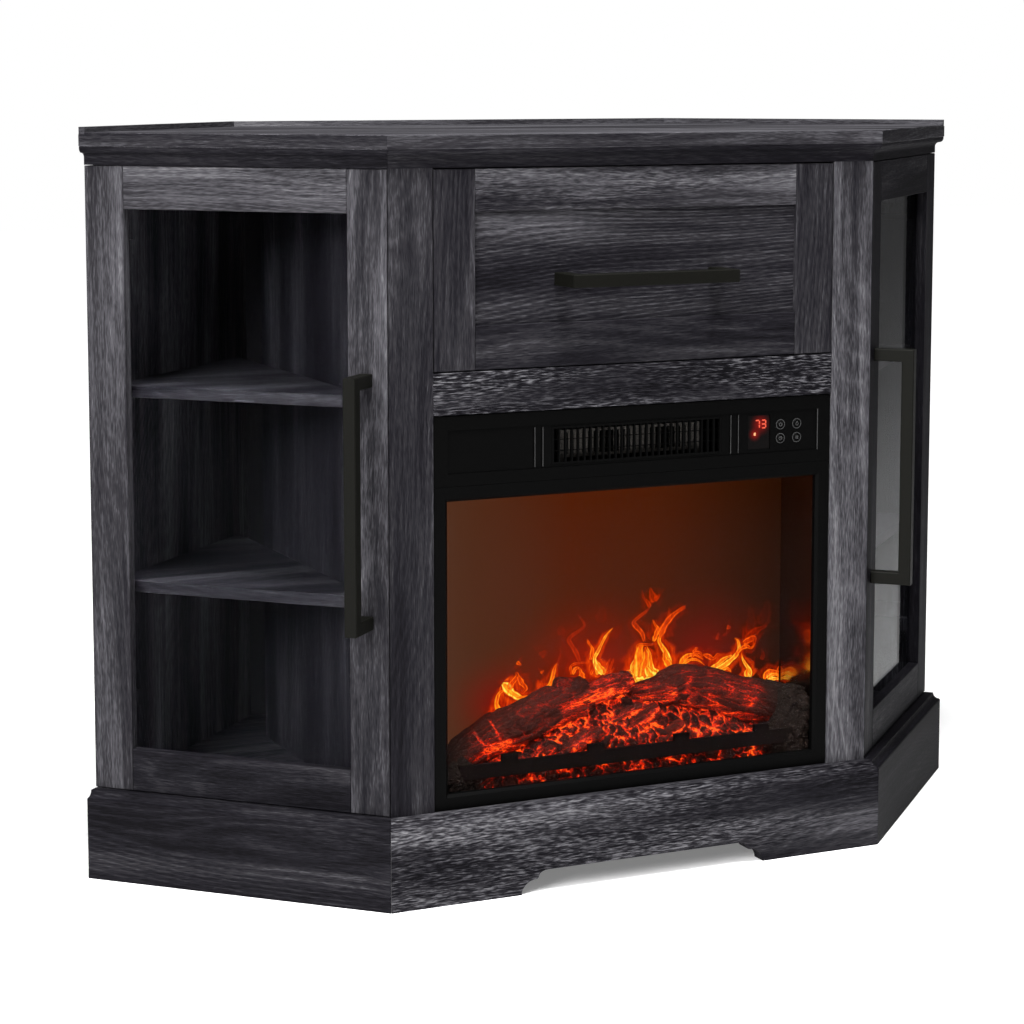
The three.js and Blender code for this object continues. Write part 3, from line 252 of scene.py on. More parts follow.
# %% Grain pattern
def grain_pattern():
    """A node group: a place, with x along the grain, gives the print's colour, gloss and height.

    tone = middle + bands + streaks + fibres + lines + dashes. All but the lines are noises, finer across
    the grain than along it. A line's profile is (2 |fract(h) - 1/2|)^2 of a height h = noise + across.
    Dashes are a quick noise, sharpened and kept to patches. Figure scales the dashes, Arches the lines,
    and Shade moves the whole tone.
    """
    tree = bpy.data.node_groups.new("charcoal_grain", "ShaderNodeTree")
    for name, kind in (("Place", "Vector"), ("Figure", "Float"), ("Arches", "Float"), ("Shade", "Float")):
        tree.interface.new_socket(name, in_out="INPUT", socket_type="NodeSocket" + kind)
    for name, kind in (("Colour", "Color"), ("Gloss", "Float"), ("Height", "Float")):
        tree.interface.new_socket(name, in_out="OUTPUT", socket_type="NodeSocket" + kind)
    place, figure, arches, shade = tree.nodes.new("NodeGroupInput").outputs[:4]

    def grained(base, along, across, detail=2.0, rough=0.5, out=0):
        """Noise that changes this many times in a metre along the grain, and across it."""
        return noise(stretch(base, (along, across, across)), 1.0, detail, rough, out)

    def shifted(base, along, across, reach):
        """The place moved across the grain by noise, up to the reach in metres."""
        cloud = vector("SUBTRACT", grained(place, along, across, 1.0, out=1), (0.5, 0.5, 0.5))
        return vector("ADD", base, stretch(cloud, (0.0, reach, reach)))

    def about(value, weight, middle=0.5):
        """How far a value is from its middle, times a weight."""
        return times(calc("SUBTRACT", value, middle), weight)

    bent = shifted(place, 1.3, 5.0, 0.05)
    rippled = shifted(bent, 100.0, 60.0, 0.0012)
    bands = grained(bent, 2.2, 24.0, 3.0)
    streaks = grained(bent, 5.0, 260.0, 4.0, 0.72)
    fibres = grained(rippled, 90.0, 900.0, 1.0)
    dashes = grained(rippled, 85.0, 620.0)
    patches = grained(bent, 2.0, 15.0)
    hill = grained(place, 1.5, 7.0, 1.0)
    climb = plus(times(hill, 38.0), vector("DOT_PRODUCT", rippled, (0.0, 130.0, 75.0)))
    saw = calc("ABSOLUTE", about(calc("FRACT", climb), 2.0))
    line = times(about(times(saw, saw), 0.15, 0.33), arches)
    lively = times(spread(patches, 0.40, 0.58, 0.12, 1.0), figure)
    dash = times(spread(dashes, 0.36, 0.66, -0.24, 0.24), lively)
    tone = plus(shade, about(bands, 1.0), about(streaks, 0.5), about(fibres, 0.42), line, dash)
    colour = ramp(tone, [(0.04, "#0b0a0d"), (0.25, "#17161a"), (0.42, "#272629"),
                         (0.60, "#424145"), (0.80, "#616063"), (1.00, "#7c7b7e")])
    feed(tree.nodes.new("NodeGroupOutput"), {
        0: colour, 1: spread(tone, 0.2, 0.9, 0.62, 0.46),
        2: plus(times(dash, 1.6), about(fibres, 0.5))})
    return tree


GRAIN = grain_pattern()
print("grain pattern nodes:", len(GRAIN.nodes))

# %% Laminate for one board
SLANT = math.sqrt(0.5)
UPRIGHT = (0.0, 0.0, 1.0)
ALONG_FRONT = (1.0, 0.0, 0.0)
ALONG_LEFT = (SLANT, -SLANT, 0.0)
ALONG_RIGHT = (SLANT, SLANT, 0.0)
BOARD_STEP = (0.37, 0.53, 0.71)
MIDDLE_TONE = 0.4
LEVEL_FROM = 0.7
PRINT_SHINE, PRINT_RELIEF = 0.03, 0.5 * MM
made_boards = 0


def along_faces(place):
    """A place whose x follows each upright face's own level direction, for a board with slanted edges.

    For an upright face with normal n the place is (p . (n x z), p.z, p . n). A level face keeps (x, y, z).
    """
    normal = node("TexCoord", out="Normal", tree=place.id_data)
    along = vector("DOT_PRODUCT", place, vector("CROSS_PRODUCT", normal, UPRIGHT))
    out = vector("DOT_PRODUCT", place, normal)
    faced = node("CombineXYZ", {0: along, 1: node("SeparateXYZ", {0: place}, 2), 2: out})
    tilt = calc("ABSOLUTE", node("SeparateXYZ", {0: normal}, 2))
    flat = calc("GREATER_THAN", tilt, LEVEL_FROM)
    return node("Mix", {0: flat, 4: faced, 5: place}, 1, data_type="VECTOR")


def laminate(board, along, figure, arches, shade):
    """The printed laminate with its grain along a direction, starting at a new place for each board.

    With no direction the grain follows the board's edges. Figure, arches and shade say how strong the
    board's dashes and growth lines are, and how much lighter it is than the middle tone. The shade is
    partly painted light and shade, and partly the print's own tone.
    """
    global made_boards
    made_boards += 1
    material, shader, place = finish_named("laminate_" + board)
    mapping = {"Vector": place, "Location": [step * made_boards for step in BOARD_STEP]}
    if along is None:
        mapping["Vector"] = along_faces(place)
    else:
        along = Vector(along)
        side = along.orthogonal().normalized() if along.z else Vector(UPRIGHT)
        mapping["Rotation"] = Matrix((along, side, along.cross(side))).to_euler()
    asked = {0: node("Mapping", mapping), 1: figure, 2: arches, 3: MIDDLE_TONE + shade}
    colour, gloss, height = node("Group", asked, node_tree=GRAIN).node.outputs
    feed(shader, {"Base Color": colour, "Roughness": gloss, "Specular IOR Level": PRINT_SHINE,
                  "Normal": bump(height, PRINT_RELIEF)})
    return material


# Each board: its grain direction, then how strong its dashes and growth lines are, and its shade. Its
# place in this list sets where it lies in the pattern. The shades paint light and shade besides the
# print's own tone: painted shade makes the right-hand door and plinth, and the crown under the top's
# overhang, darker, and painted light makes the top and the left side panel lighter.
BOARDS = {
    "top_panel": (None, 0.2, 0.5, 0.07), "top_rear_lip": (None, 0.1, 0.3, 0.12),
    "crown_left": (ALONG_LEFT, 0.3, 0.5, -0.26), "crown_front": (ALONG_FRONT, 0.3, 0.5, -0.10),
    "crown_right": (ALONG_RIGHT, 0.3, 0.5, -0.20),
    "post_left": (UPRIGHT, 0.25, 0.5, -0.07), "post_right": (UPRIGHT, 0.3, 0.6, 0.21),
    "mid_rail": (ALONG_FRONT, 1.6, 0.3, -0.02),
    "drawer_front_left_stile": (UPRIGHT, 0.15, 0.6, -0.08),
    "drawer_front_right_stile": (UPRIGHT, 0.15, 0.6, -0.02),
    "drawer_front_top_rail": (ALONG_FRONT, 0.6, 0.5, 0.06),
    "drawer_front_bottom_rail": (ALONG_FRONT, 0.15, 0.8, -0.14),
    "drawer_front_panel": (ALONG_FRONT, 0.25, 1.2, -0.05),
    "door_left_outer_stile": (UPRIGHT, 0.35, 0.4, 0.08),
    "door_left_inner_stile": (UPRIGHT, 0.2, 0.5, 0.09),
    "door_left_top_rail": (ALONG_LEFT, 0.3, 0.7, 0.16),
    "door_left_bottom_rail": (ALONG_LEFT, 0.15, 0.7, -0.12),
    "door_right_outer_stile": (UPRIGHT, 0.2, 0.4, -0.19),
    "door_right_inner_stile": (UPRIGHT, 0.2, 0.4, -0.19),
    "door_right_top_rail": (ALONG_RIGHT, 0.2, 0.5, -0.19),
    "door_right_bottom_rail": (ALONG_RIGHT, 0.2, 0.5, -0.19),
    "plinth_left": (ALONG_LEFT, 0.35, 1.0, -0.22), "plinth_front": (ALONG_FRONT, 1.1, 0.6, -0.04),
    "plinth_right": (ALONG_RIGHT, 0.3, 0.6, -0.26),
    "partition_left": (UPRIGHT, 0.1, 0.5, -0.14), "partition_right": (UPRIGHT, 0.1, 0.5, -0.17),
    "side_panel_left": (UPRIGHT, 0.1, 0.4, 0.09), "side_panel_right": (UPRIGHT, 0.1, 0.4, 0.0),
    "shelf_left_upper": (None, 0.2, 0.6, -0.08), "shelf_left_lower": (None, 0.2, 0.6, -0.08),
    "shelf_right_upper": (None, 0.2, 0.6, -0.08), "shelf_right_lower": (None, 0.2, 0.6, -0.08),
    "bottom_panel": (None, 0.2, 0.6, -0.08), "drawer_deck": (None, 0.2, 0.5, -0.08),
}
for name, (along, *strengths) in BOARDS.items():
    coat(name, laminate(name, along, *strengths))
print("boards in laminate:", made_boards)

# %% [markdown]
# ## Plain boards, metals and enamels
# The drawer box is folded from a grey-black wrapped board, and the back is a thin hardboard, painted
# dark, with the faint mottle of pressed fibres. The pulls are square bar in a matt olive-black powder
# coat. The fire's frame and control panel are satin black enamel on steel. Inside, the walls beside the
# flames are polished, so that the fire seems to go on past them, and the case of the heater is blackened
# against its heat.

# %% Quiet finishes
def mottled(name, dark, pale, size, rough, relief, shine=0.5, metal=0.0):
    """A quiet surface: two near colours mixed by fine noise, which also lifts it a little.

    The size of the mottle and its relief are in millimetres.
    """
    material, shader, place = finish_named(name)
    cloud = noise(place, 1.0 / (size * MM), 4.0, 0.6)
    feed(shader, {"Base Color": ramp(cloud, [(0.3, dark), (0.7, pale)]), "Metallic": metal,
                  "Roughness": spread(cloud, 0.3, 0.7, rough + 0.06, rough - 0.06),
                  "Specular IOR Level": shine, "Normal": bump(cloud, relief * MM)})
    return material


# Each finish: the nodes that wear it, two colours, mottle, roughness, relief, shine and share of metal.
QUIET = {
    "wrapped_board": ("drawer_box drawer_bottom", "#1f1e21", "#2b2a2e", 1.2, 0.6, 0.05, 0.2),
    "painted_fibreboard": ("back_panel", "#1d1c1e", "#2a292b", 2.5, 0.8, 0.12, 0.2),
    "pull_powder_coat": ("door_left_handle door_right_handle drawer_handle",
                         "#080806", "#10100d", 0.5, 0.5, 0.03, 0.06),
    "black_enamel": ("control_panel window_frame outlet_grille button_upper_left button_upper_right "
                     "button_lower_left button_lower_right", "#020202", "#050505", 0.6, 0.45, 0.01, 0.03),
    "stove_blacking": ("heater_case blower_drum", "#050404", "#0e0b0a", 2.0, 0.7, 0.05, 0.1),
    "polished_sheet": ("fire_housing", "#a39b93", "#b2aaa2", 9.0, 0.16, 0.01, 0.5, 1.0),
    "zinc_sheet": ("flame_spindle", "#8d9092", "#b0b3b5", 9.0, 0.42, 0.02, 0.5, 1.0),
    "runner_steel": ("drawer_runner_left drawer_runner_right",
                     "#9b9d9f", "#b9bbbd", 3.0, 0.35, 0.01, 0.5, 1.0),
    "heating_wire": ("heater_element", "#3a3735", "#6e6a66", 1.5, 0.45, 0.02, 0.5, 1.0),
}
for finish, (wearers, *looks) in QUIET.items():
    material = mottled(finish, *looks)
    for name in wearers.split():
        coat(name, material)

# %% [markdown]
# ## Clear panes
# A pane of clear glass is seen through, shines a little, and shines more where it is seen at a slant.
# A Principled shader with full transmission does that. Lamps could not shine through it, so rays that
# ask for shadow find a nearly clear shader instead. The panes are coated against glare, which is a
# lower index than that of bare glass.

# %% Glass
def pane_finish(name, colour, index):
    """Glass for a thin pane: Principled transmission, with a Transparent shader for shadow rays."""
    material, shader, place = finish_named(name, "MixShader")
    wipe = noise(place, 14.0, 3.0)
    glass = node("BsdfPrincipled", {
        "Base Color": colour, "Transmission Weight": 1.0, "IOR": index, "Specular Tint": PANE_SHINE,
        "Roughness": spread(wipe, 0.35, 0.75, 0.0, 0.03)})
    feed(shader, {0: node("LightPath", out="Is Shadow Ray", tree=place.id_data), 1: glass,
                  2: node("BsdfTransparent", {"Color": colour}, tree=place.id_data)})
    return material


PANE_SHINE = (0.80, 0.81, 0.95, 1.0)
door_glass = pane_finish("door_glass", (0.86, 0.87, 0.89, 1.0), 1.06)
fire_pane = pane_finish("fire_pane", (0.97, 0.97, 0.97, 1.0), 1.03)
for name, material in (("door_left_glass", door_glass), ("door_right_glass", door_glass),
                       ("fire_glass", fire_pane)):
    coat(name, material)

# %% [markdown]
# ## Tools for shapes worked out in arrays
# The log bed is one resin moulding: split logs, bark, lumps of ember and a rough stone edge. Such forms
# are too irregular for modelling by hand, and simple to state: a round section carried along a bent
# line, pushed in and out by noise. Two kinds of noise do it all. Lattice noise blends random numbers at
# the corners of a grid. Cell noise finds, for each point, its nearest and second nearest seed: where the
# two are equally far there is a crack.

# %% Noise in arrays
def lattice(x, y, seed, wrap=256):
    """Smooth noise from 0 to 1 on arrays: random corner values blended by the curve 3t^2 - 2t^3."""
    corners = np.random.default_rng(seed).random((256, wrap))
    column, row = np.floor(x).astype(int), np.floor(y).astype(int)
    s, t = x - column, y - row
    s, t = s * s * (3 - 2 * s), t * t * (3 - 2 * t)
    left, right = column % 256, (column + 1) % 256
    low, high = row % wrap, (row + 1) % wrap
    bottom = corners[left, low] * (1 - s) + corners[right, low] * s
    top = corners[left, high] * (1 - s) + corners[right, high] * s
    return bottom * (1 - t) + top * t


def rough(x, y, seed, octaves=3, wrap=256):
    """Lattice noise summed at doubling fineness and halving strength, from -1 to 1."""
    total = sum(lattice(x * 2 ** k, y * 2 ** k, seed + k, wrap * 2 ** k) / 2 ** k for k in range(octaves))
    return total / (2 - 2 / 2 ** octaves) * 2 - 1


def seams(points, seeds):
    """How far each point is from a crack: the distance to its second nearest seed less the nearest."""
    squares = ((points ** 2).sum(1)[:, None] + (seeds ** 2).sum(1)[None, :] - 2 * points @ seeds.T)
    nearest = np.sqrt(np.maximum(np.partition(squares, 1, axis=1)[:, :2], 0.0))
    return nearest[:, 1] - nearest[:, 0]


def ease(x, low, high):
    """0 below low, 1 above high, and 3t^2 - 2t^3 between."""
    t = np.clip((x - low) / (high - low), 0.0, 1.0)
    return t * t * (3 - 2 * t)


# %% Meshes from arrays
def piece_from(name, points, faces, material, body=CABINET, values=None, smooth=True):
    """A mesh object at the origin from points in metres, with its finish and any values per point."""
    mesh = bpy.data.meshes.new(name)
    mesh.from_pydata(np.asarray(points).tolist(), [], faces)
    for key, numbers in (values or {}).items():
        mesh.attributes.new(key, "FLOAT", "POINT").data.foreach_set("value", np.asarray(numbers, np.float32))
    mesh.materials.append(material)
    if smooth:
        mesh.shade_smooth()
    made = placed(name, mesh)
    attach(made, body)
    return made


def ringed(name, rings, material, values):
    """A closed skin over rings, with a pole in the middle of each end, where its values are zero.

    Quads join each ring to the next, and triangles join the end rings to their poles. If the volume
    under the faces comes out negative, every face is turned round.
    """
    rows, around = rings.shape[:2]
    grid = np.arange(rows * around).reshape(rows, around)
    beside = np.roll(grid, -1, axis=1)
    quads = np.stack([grid[:-1], beside[:-1], beside[1:], grid[1:]], -1).reshape(-1, 4)
    first, last = rows * around, rows * around + 1
    start = np.stack([np.full(around, first), beside[0], grid[0]], -1)
    end = np.stack([np.full(around, last), grid[-1], beside[-1]], -1)
    points = np.concatenate([rings.reshape(-1, 3), rings[:1].mean(1), rings[-1:].mean(1)])
    a, b, c = (points[quads[:, k]] for k in (0, 1, 2))
    if np.einsum("ij,ij->i", a - points.mean(0), np.cross(b - a, c - a)).sum() < 0:
        quads, start, end = quads[:, ::-1], start[:, ::-1], end[:, ::-1]
    values = {key: np.append(numbers, [0.0, 0.0]) for key, numbers in values.items()}
    return piece_from(name, points, quads.tolist() + start.tolist() + end.tolist(), material, values=values)


def curve_through(places, count):
    """Points on a smooth curve through places: between two, a cubic with their neighbours' slopes."""
    places = np.asarray(places, float)
    ends = np.concatenate([[2 * places[0] - places[1]], places, [2 * places[-1] - places[-2]]])
    where = np.linspace(0, len(places) - 1, count)
    part = np.minimum(where.astype(int), len(places) - 2)
    t = (where - part)[:, None]
    p0, p1, p2, p3 = (ends[part + k] for k in range(4))
    return 0.5 * (2 * p1 + (p2 - p0) * t + (2 * p0 - 5 * p1 + 4 * p2 - p3) * t ** 2
                  + (3 * p1 - p0 - 3 * p2 + p3) * t ** 3)


# %% [markdown]
# ## Display and buttons
# The display shows two red figures of seven segments and a red dot behind a black lens, with a little
# red glow painted on the lens around them. Each button is a black cap with a small sign on it: power,
# flame, clock and heat, and a thin grey painted highlight lies on its raised ring. Figures and signs
# are strokes: a line of points is given a width and a thickness.

# %% Flat slabs and strokes
def slab(name, outline, near, far, caps, material, body=CABINET):
    """A closed slab: an outline of (x, z) places at y = near and again at y = far.

    Seen from the front the outline runs clockwise, and the caps that fill it run the other way. At the
    rear the caps are turned round, and one quad for each side of the outline joins front and rear.
    """
    count = len(outline)
    points = np.concatenate([np.insert(outline, 1, y, axis=1) for y in (near, far)])
    caps, ring = np.asarray(caps), np.arange(count)
    beside = np.roll(ring, -1)
    sides = np.stack([ring, beside, beside + count, ring + count], 1)
    faces = caps.tolist() + (caps[:, ::-1] + count).tolist() + sides.tolist()
    return piece_from(name, points, faces, material, body, smooth=False)


def stroke(name, line, width, face, material, body=CABINET):
    """A slab that follows a line of (x, z) places, standing just in front of y = face.

    At each place the two sides lie half the width off, along the mean normal of the stretches beside it.
    """
    line = np.asarray(line, float)
    step = np.diff(line, axis=0)
    step /= np.linalg.norm(step, axis=1)[:, None]
    mean = np.concatenate([step[:1], step[:-1] + step[1:], step[-1:]])
    mean /= np.linalg.norm(mean, axis=1)[:, None]
    off = np.stack([-mean[:, 1], mean[:, 0]], 1) * width / 2
    outline = np.concatenate([line + off, (line - off)[::-1]])
    k, last = np.arange(len(line) - 1), len(outline) - 1
    strips = np.stack([last - k, last - k - 1, k + 1, k], 1)
    return slab(name, outline, face - STROKE_THICK, face, strips, material, body)


def arc(centre, radius, start, end, count=14):
    """Places on an arc round a centre, between two angles in degrees counted from the right, upwards."""
    angles = np.radians(np.linspace(start, end, count))
    return np.stack([centre[0] + radius * np.cos(angles), centre[1] + radius * np.sin(angles)], 1)


def lit(name, colour, edge):
    """A small light: emission of two near colours, mixed by fine noise."""
    material, shader, place = finish_named(name)
    light = ramp(noise(place, LIGHT_FINENESS), [(0.35, edge), (0.65, colour)])
    feed(shader, {"Base Color": "#200000", "Emission Color": light, "Emission Strength": 1.0})
    return material


STROKE_THICK = 0.12 * MM
LIGHT_FINENESS = 500.0
red_light = lit("display_red", "#ff6840", "#ff3a1c")
amber_light = lit("display_amber", "#ffe2a8", "#ff8a3c")
sign_paint = mottled("sign_paint", "#3c3c3c", "#4a4a4a", 1.0, 0.5, 0.01, 0.1)
# Painted highlight: the grey of the panel's edges and the keys' raised rings where they catch the light.
edge_highlight_paint = mottled("painted_edge_highlight", "#303030", "#3c3c3c", 4.0, 0.4, 0.01, 0.2)

# %% Display
lens_low, lens_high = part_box("display_lens")
FIGURE_LOW, FIGURE_HIGH = lens_high.z - 13.9 * MM, lens_high.z - 5.3 * MM
FIGURE_WIDTH, FIGURE_LINE, SEGMENT_GAP = 5.1 * MM, 1.5 * MM, 0.45 * MM
DOT_HALF, DOT_LINE = 1.7 * MM, 2.6 * MM
dot_x, dot_z = lens_low.x + 8.6 * MM, lens_low.z + 16.8 * MM
FIGURES = {"seven": (lens_low.x + 9.3 * MM, "abc"), "three": (lens_low.x + 17.3 * MM, "abcdg")}


def segments(left):
    """The lines of seven segments in a box of the figure's width and height, lettered as usual."""
    right, middle, gap = left + FIGURE_WIDTH, (FIGURE_LOW + FIGURE_HIGH) / 2, SEGMENT_GAP
    return {"a": [(left + gap, FIGURE_HIGH), (right - gap, FIGURE_HIGH)],
            "b": [(right, FIGURE_HIGH - gap), (right, middle + gap)],
            "c": [(right, middle - gap), (right, FIGURE_LOW + gap)],
            "d": [(left + gap, FIGURE_LOW), (right - gap, FIGURE_LOW)],
            "g": [(left + gap, middle), (right - gap, middle)]}


for figure, (left, lit_ones) in FIGURES.items():
    lines = segments(left)
    for letter in lit_ones:
        stroke(f"figure_{figure}_{letter}", lines[letter], FIGURE_LINE, lens_low.y, red_light)
dot_line = [(dot_x, dot_z - DOT_HALF), (dot_x, dot_z + DOT_HALF)]
stroke("display_dot", dot_line, DOT_LINE, lens_low.y, amber_light)

# Painted light: red glows painted into the lens's emission round the figures and the dot.
GLOW_POWER = 2.4
GLOWS = [((lens_low.x + 15.6 * MM, (FIGURE_LOW + FIGURE_HIGH) / 2), (16 * MM, 16 * MM), "#8c0d06"),
         ((dot_x, dot_z), (10 * MM, 10 * MM), "#960e06")]
lens_finish, shader, place = finish_named("display_lens_black")
black = ramp(noise(place, 300.0), [(0.3, "#000000"), (0.7, "#020000")])
feed(shader, {"Base Color": "#040303", "Roughness": 0.15, "Specular IOR Level": 0.1,
              "Emission Color": pooled(place, black, GLOWS, GLOW_POWER), "Emission Strength": 1.0})
coat("display_lens", lens_finish)

# %% Buttons
KEYS = {"upper_left": "power", "upper_right": "flame", "lower_left": "clock", "lower_right": "heat"}
SIGN_LINE = 0.55 * MM
RING_RADIUS, RING_LINE = 5.3 * MM, 0.75 * MM
RING_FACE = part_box("button_upper_left")[0].y + 0.6 * MM


def sign_lines(sign, centre):
    """The lines of a key's sign, about 4 mm across, round the key's centre."""
    x, z = centre
    return {"power": [arc(centre, 1.9 * MM, 125, 415), [(x, z + 0.4 * MM), (x, z + 2.5 * MM)]],
            "flame": [arc((x, z - 0.5 * MM), 1.5 * MM, 150, 390),
                      [(x - 1.3 * MM, z + 0.25 * MM), (x + 0.2 * MM, z + 2.5 * MM),
                       (x + 1.3 * MM, z + 0.25 * MM)]],
            "clock": [arc(centre, 2.0 * MM, 92, 448), [(x, z + 1.3 * MM), (x, z), (x + 1.0 * MM, z)]],
            "heat": [[(x + k * 1.3 * MM + 0.4 * MM * math.sin(2.4 * t), z + t * 0.9 * MM)
                      for t in range(-2, 3)] for k in (-1, 0, 1)]}[sign]


for key, sign in KEYS.items():
    low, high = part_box("button_" + key)
    centre = ((low.x + high.x) / 2, (low.z + high.z) / 2)
    for number, line in enumerate(sign_lines(sign, centre)):
        stroke(f"sign_{sign}_{number}", line, SIGN_LINE, low.y, sign_paint, key + "_key")
    # The thin grey rings are painted highlights where each key's raised ring catches the light.
    for half, (start, end) in enumerate(((-90, 90), (90, 270))):
        ring = arc(centre, RING_RADIUS, start, end, 20)
        stroke(f"ring_{sign}_{half}", ring, RING_LINE, RING_FACE, edge_highlight_paint)
print("display and signs made; keys:", ", ".join(KEYS.values()))

# %% Painted highlights on the edges of the control panel
panel_low, panel_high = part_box("control_panel")
grille_low, grille_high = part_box("outlet_grille")
RIB_OFFSETS, RIB_LINE, RIB_REACH = (11.0 * MM, 20.5 * MM), 0.7 * MM, 0.5 * MM
RIB_FACE = panel_low.y + 0.2 * MM
FIELD_X, FIELD_LINE, FIELD_REACH = panel_high.x - 15.8 * MM, 0.9 * MM, 2.0 * MM


def upright_highlight(name, x, reach, width, face):
    """A painted highlight: a bright line where an edge catches the light, beside the grille and past it at
    both ends.
    """
    stroke(name, [(x, grille_low.z - reach), (x, grille_high.z + reach)], width, face, edge_highlight_paint)


for side_name, side in (("left", -1), ("right", 1)):
    for number, offset in enumerate(RIB_OFFSETS):
        rib_x = side * (grille_high.x + offset)
        upright_highlight(f"rib_highlight_{side_name}_{number}", rib_x, RIB_REACH, RIB_LINE, RIB_FACE)
upright_highlight("field_highlight_right", FIELD_X, FIELD_REACH, FIELD_LINE, panel_low.y)
print("bright edges made on four ribs and at the end of the panel's field")

# %% [markdown]
# ## Moulded logs
# Each log is a round section carried along a bent line. Its bark is made of long plates, so the cell
# noise is stretched along the log. Cracks between plates are pushed in, and their nearness is kept as a
# value per point, which the finish turns into an orange glow where the embers shine through.

# %% Finish of logs and embers
def fire_finish(name, dark, pale, grain, plate, strength):
    """Burnt resin: a mottled brown, split into plates by cell noise, with a glow from red to orange.

    The value glow is painted light: embers shining through, most of all in the cracks between plates, and
    on logs also the embers' red light on their lower sides. The value stone turns the brown into the dark
    grit of the cold ends.
    """
    material, shader, place = finish_named(name)
    cloud = noise(place, 1.0 / grain, 5.0, 0.65)
    bend = stretch(noise(place, 240.0, out=1), (0.006, 0.006, 0.006))
    bent = stretch(vector("ADD", place, bend), [1.0 / size for size in plate])
    cells = node("TexVoronoi", {"Vector": bent, "Scale": 1.0}, feature="DISTANCE_TO_EDGE")
    crack = spread(cells, 0.0, 0.13, 1.0, 0.0)
    burnt = mix(times(crack, 0.8), ramp(cloud, [(0.32, dark), (0.68, pale)]), "#040101")
    grit = ramp(cloud, [(0.36, "#060302"), (0.62, "#170e0a"), (0.76, "#54463c")])
    share = plus(0.55, times(crack, 0.85))
    flicker = times(stored(place, "glow"), share, spread(cloud, 0.3, 0.7, 0.7, 1.2))
    light = ramp(flicker, [(0.0, "#000000"), (0.10, "#1c0301"), (0.30, "#6a0c03"),
                           (0.55, "#cc2007"), (0.80, "#f5400b"), (1.0, "#ff6a1c")])
    height = calc("SUBTRACT", cloud, times(crack, 0.7))
    feed(shader, {"Base Color": mix(stored(place, "stone"), burnt, grit), "Roughness": 0.7,
                  "Specular IOR Level": 0.06, "Emission Color": light, "Emission Strength": strength,
                  "Normal": bump(height, BARK_RELIEF)})
    return material


BARK_RELIEF = 1.6 * MM
BARK_PLATE = (14.0 * MM, 3.6 * MM, 3.4 * MM)
EMBER_PLATE = (9.0 * MM, 6.0 * MM, 6.0 * MM)
# The red tint of the bark's paler brown is partly painted red light from the embers, partly its own colour.
bark = fire_finish("burnt_bark", "#080302", "#3c140c", 1.8 * MM, BARK_PLATE, 1.3)
ember = fire_finish("glowing_ember", "#080201", "#2c0d07", 2.2 * MM, EMBER_PLATE, 1.25)

# %% Log shape
bed_low, bed_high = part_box("log_bed")
SIDE_STEP, LONG_STEP = 1.1 * MM, 1.2 * MM
SWELL, GROOVE, CRACK_DEPTH = 0.09, 0.06, 2.2 * MM
CRACK_WIDTH, GLOW_WIDTH, GIRDLE_WIDTH = 1.5 * MM, 1.0 * MM, 1.1 * MM
TIP_SHARE, TIP_LENGTH = 0.62, 0.35


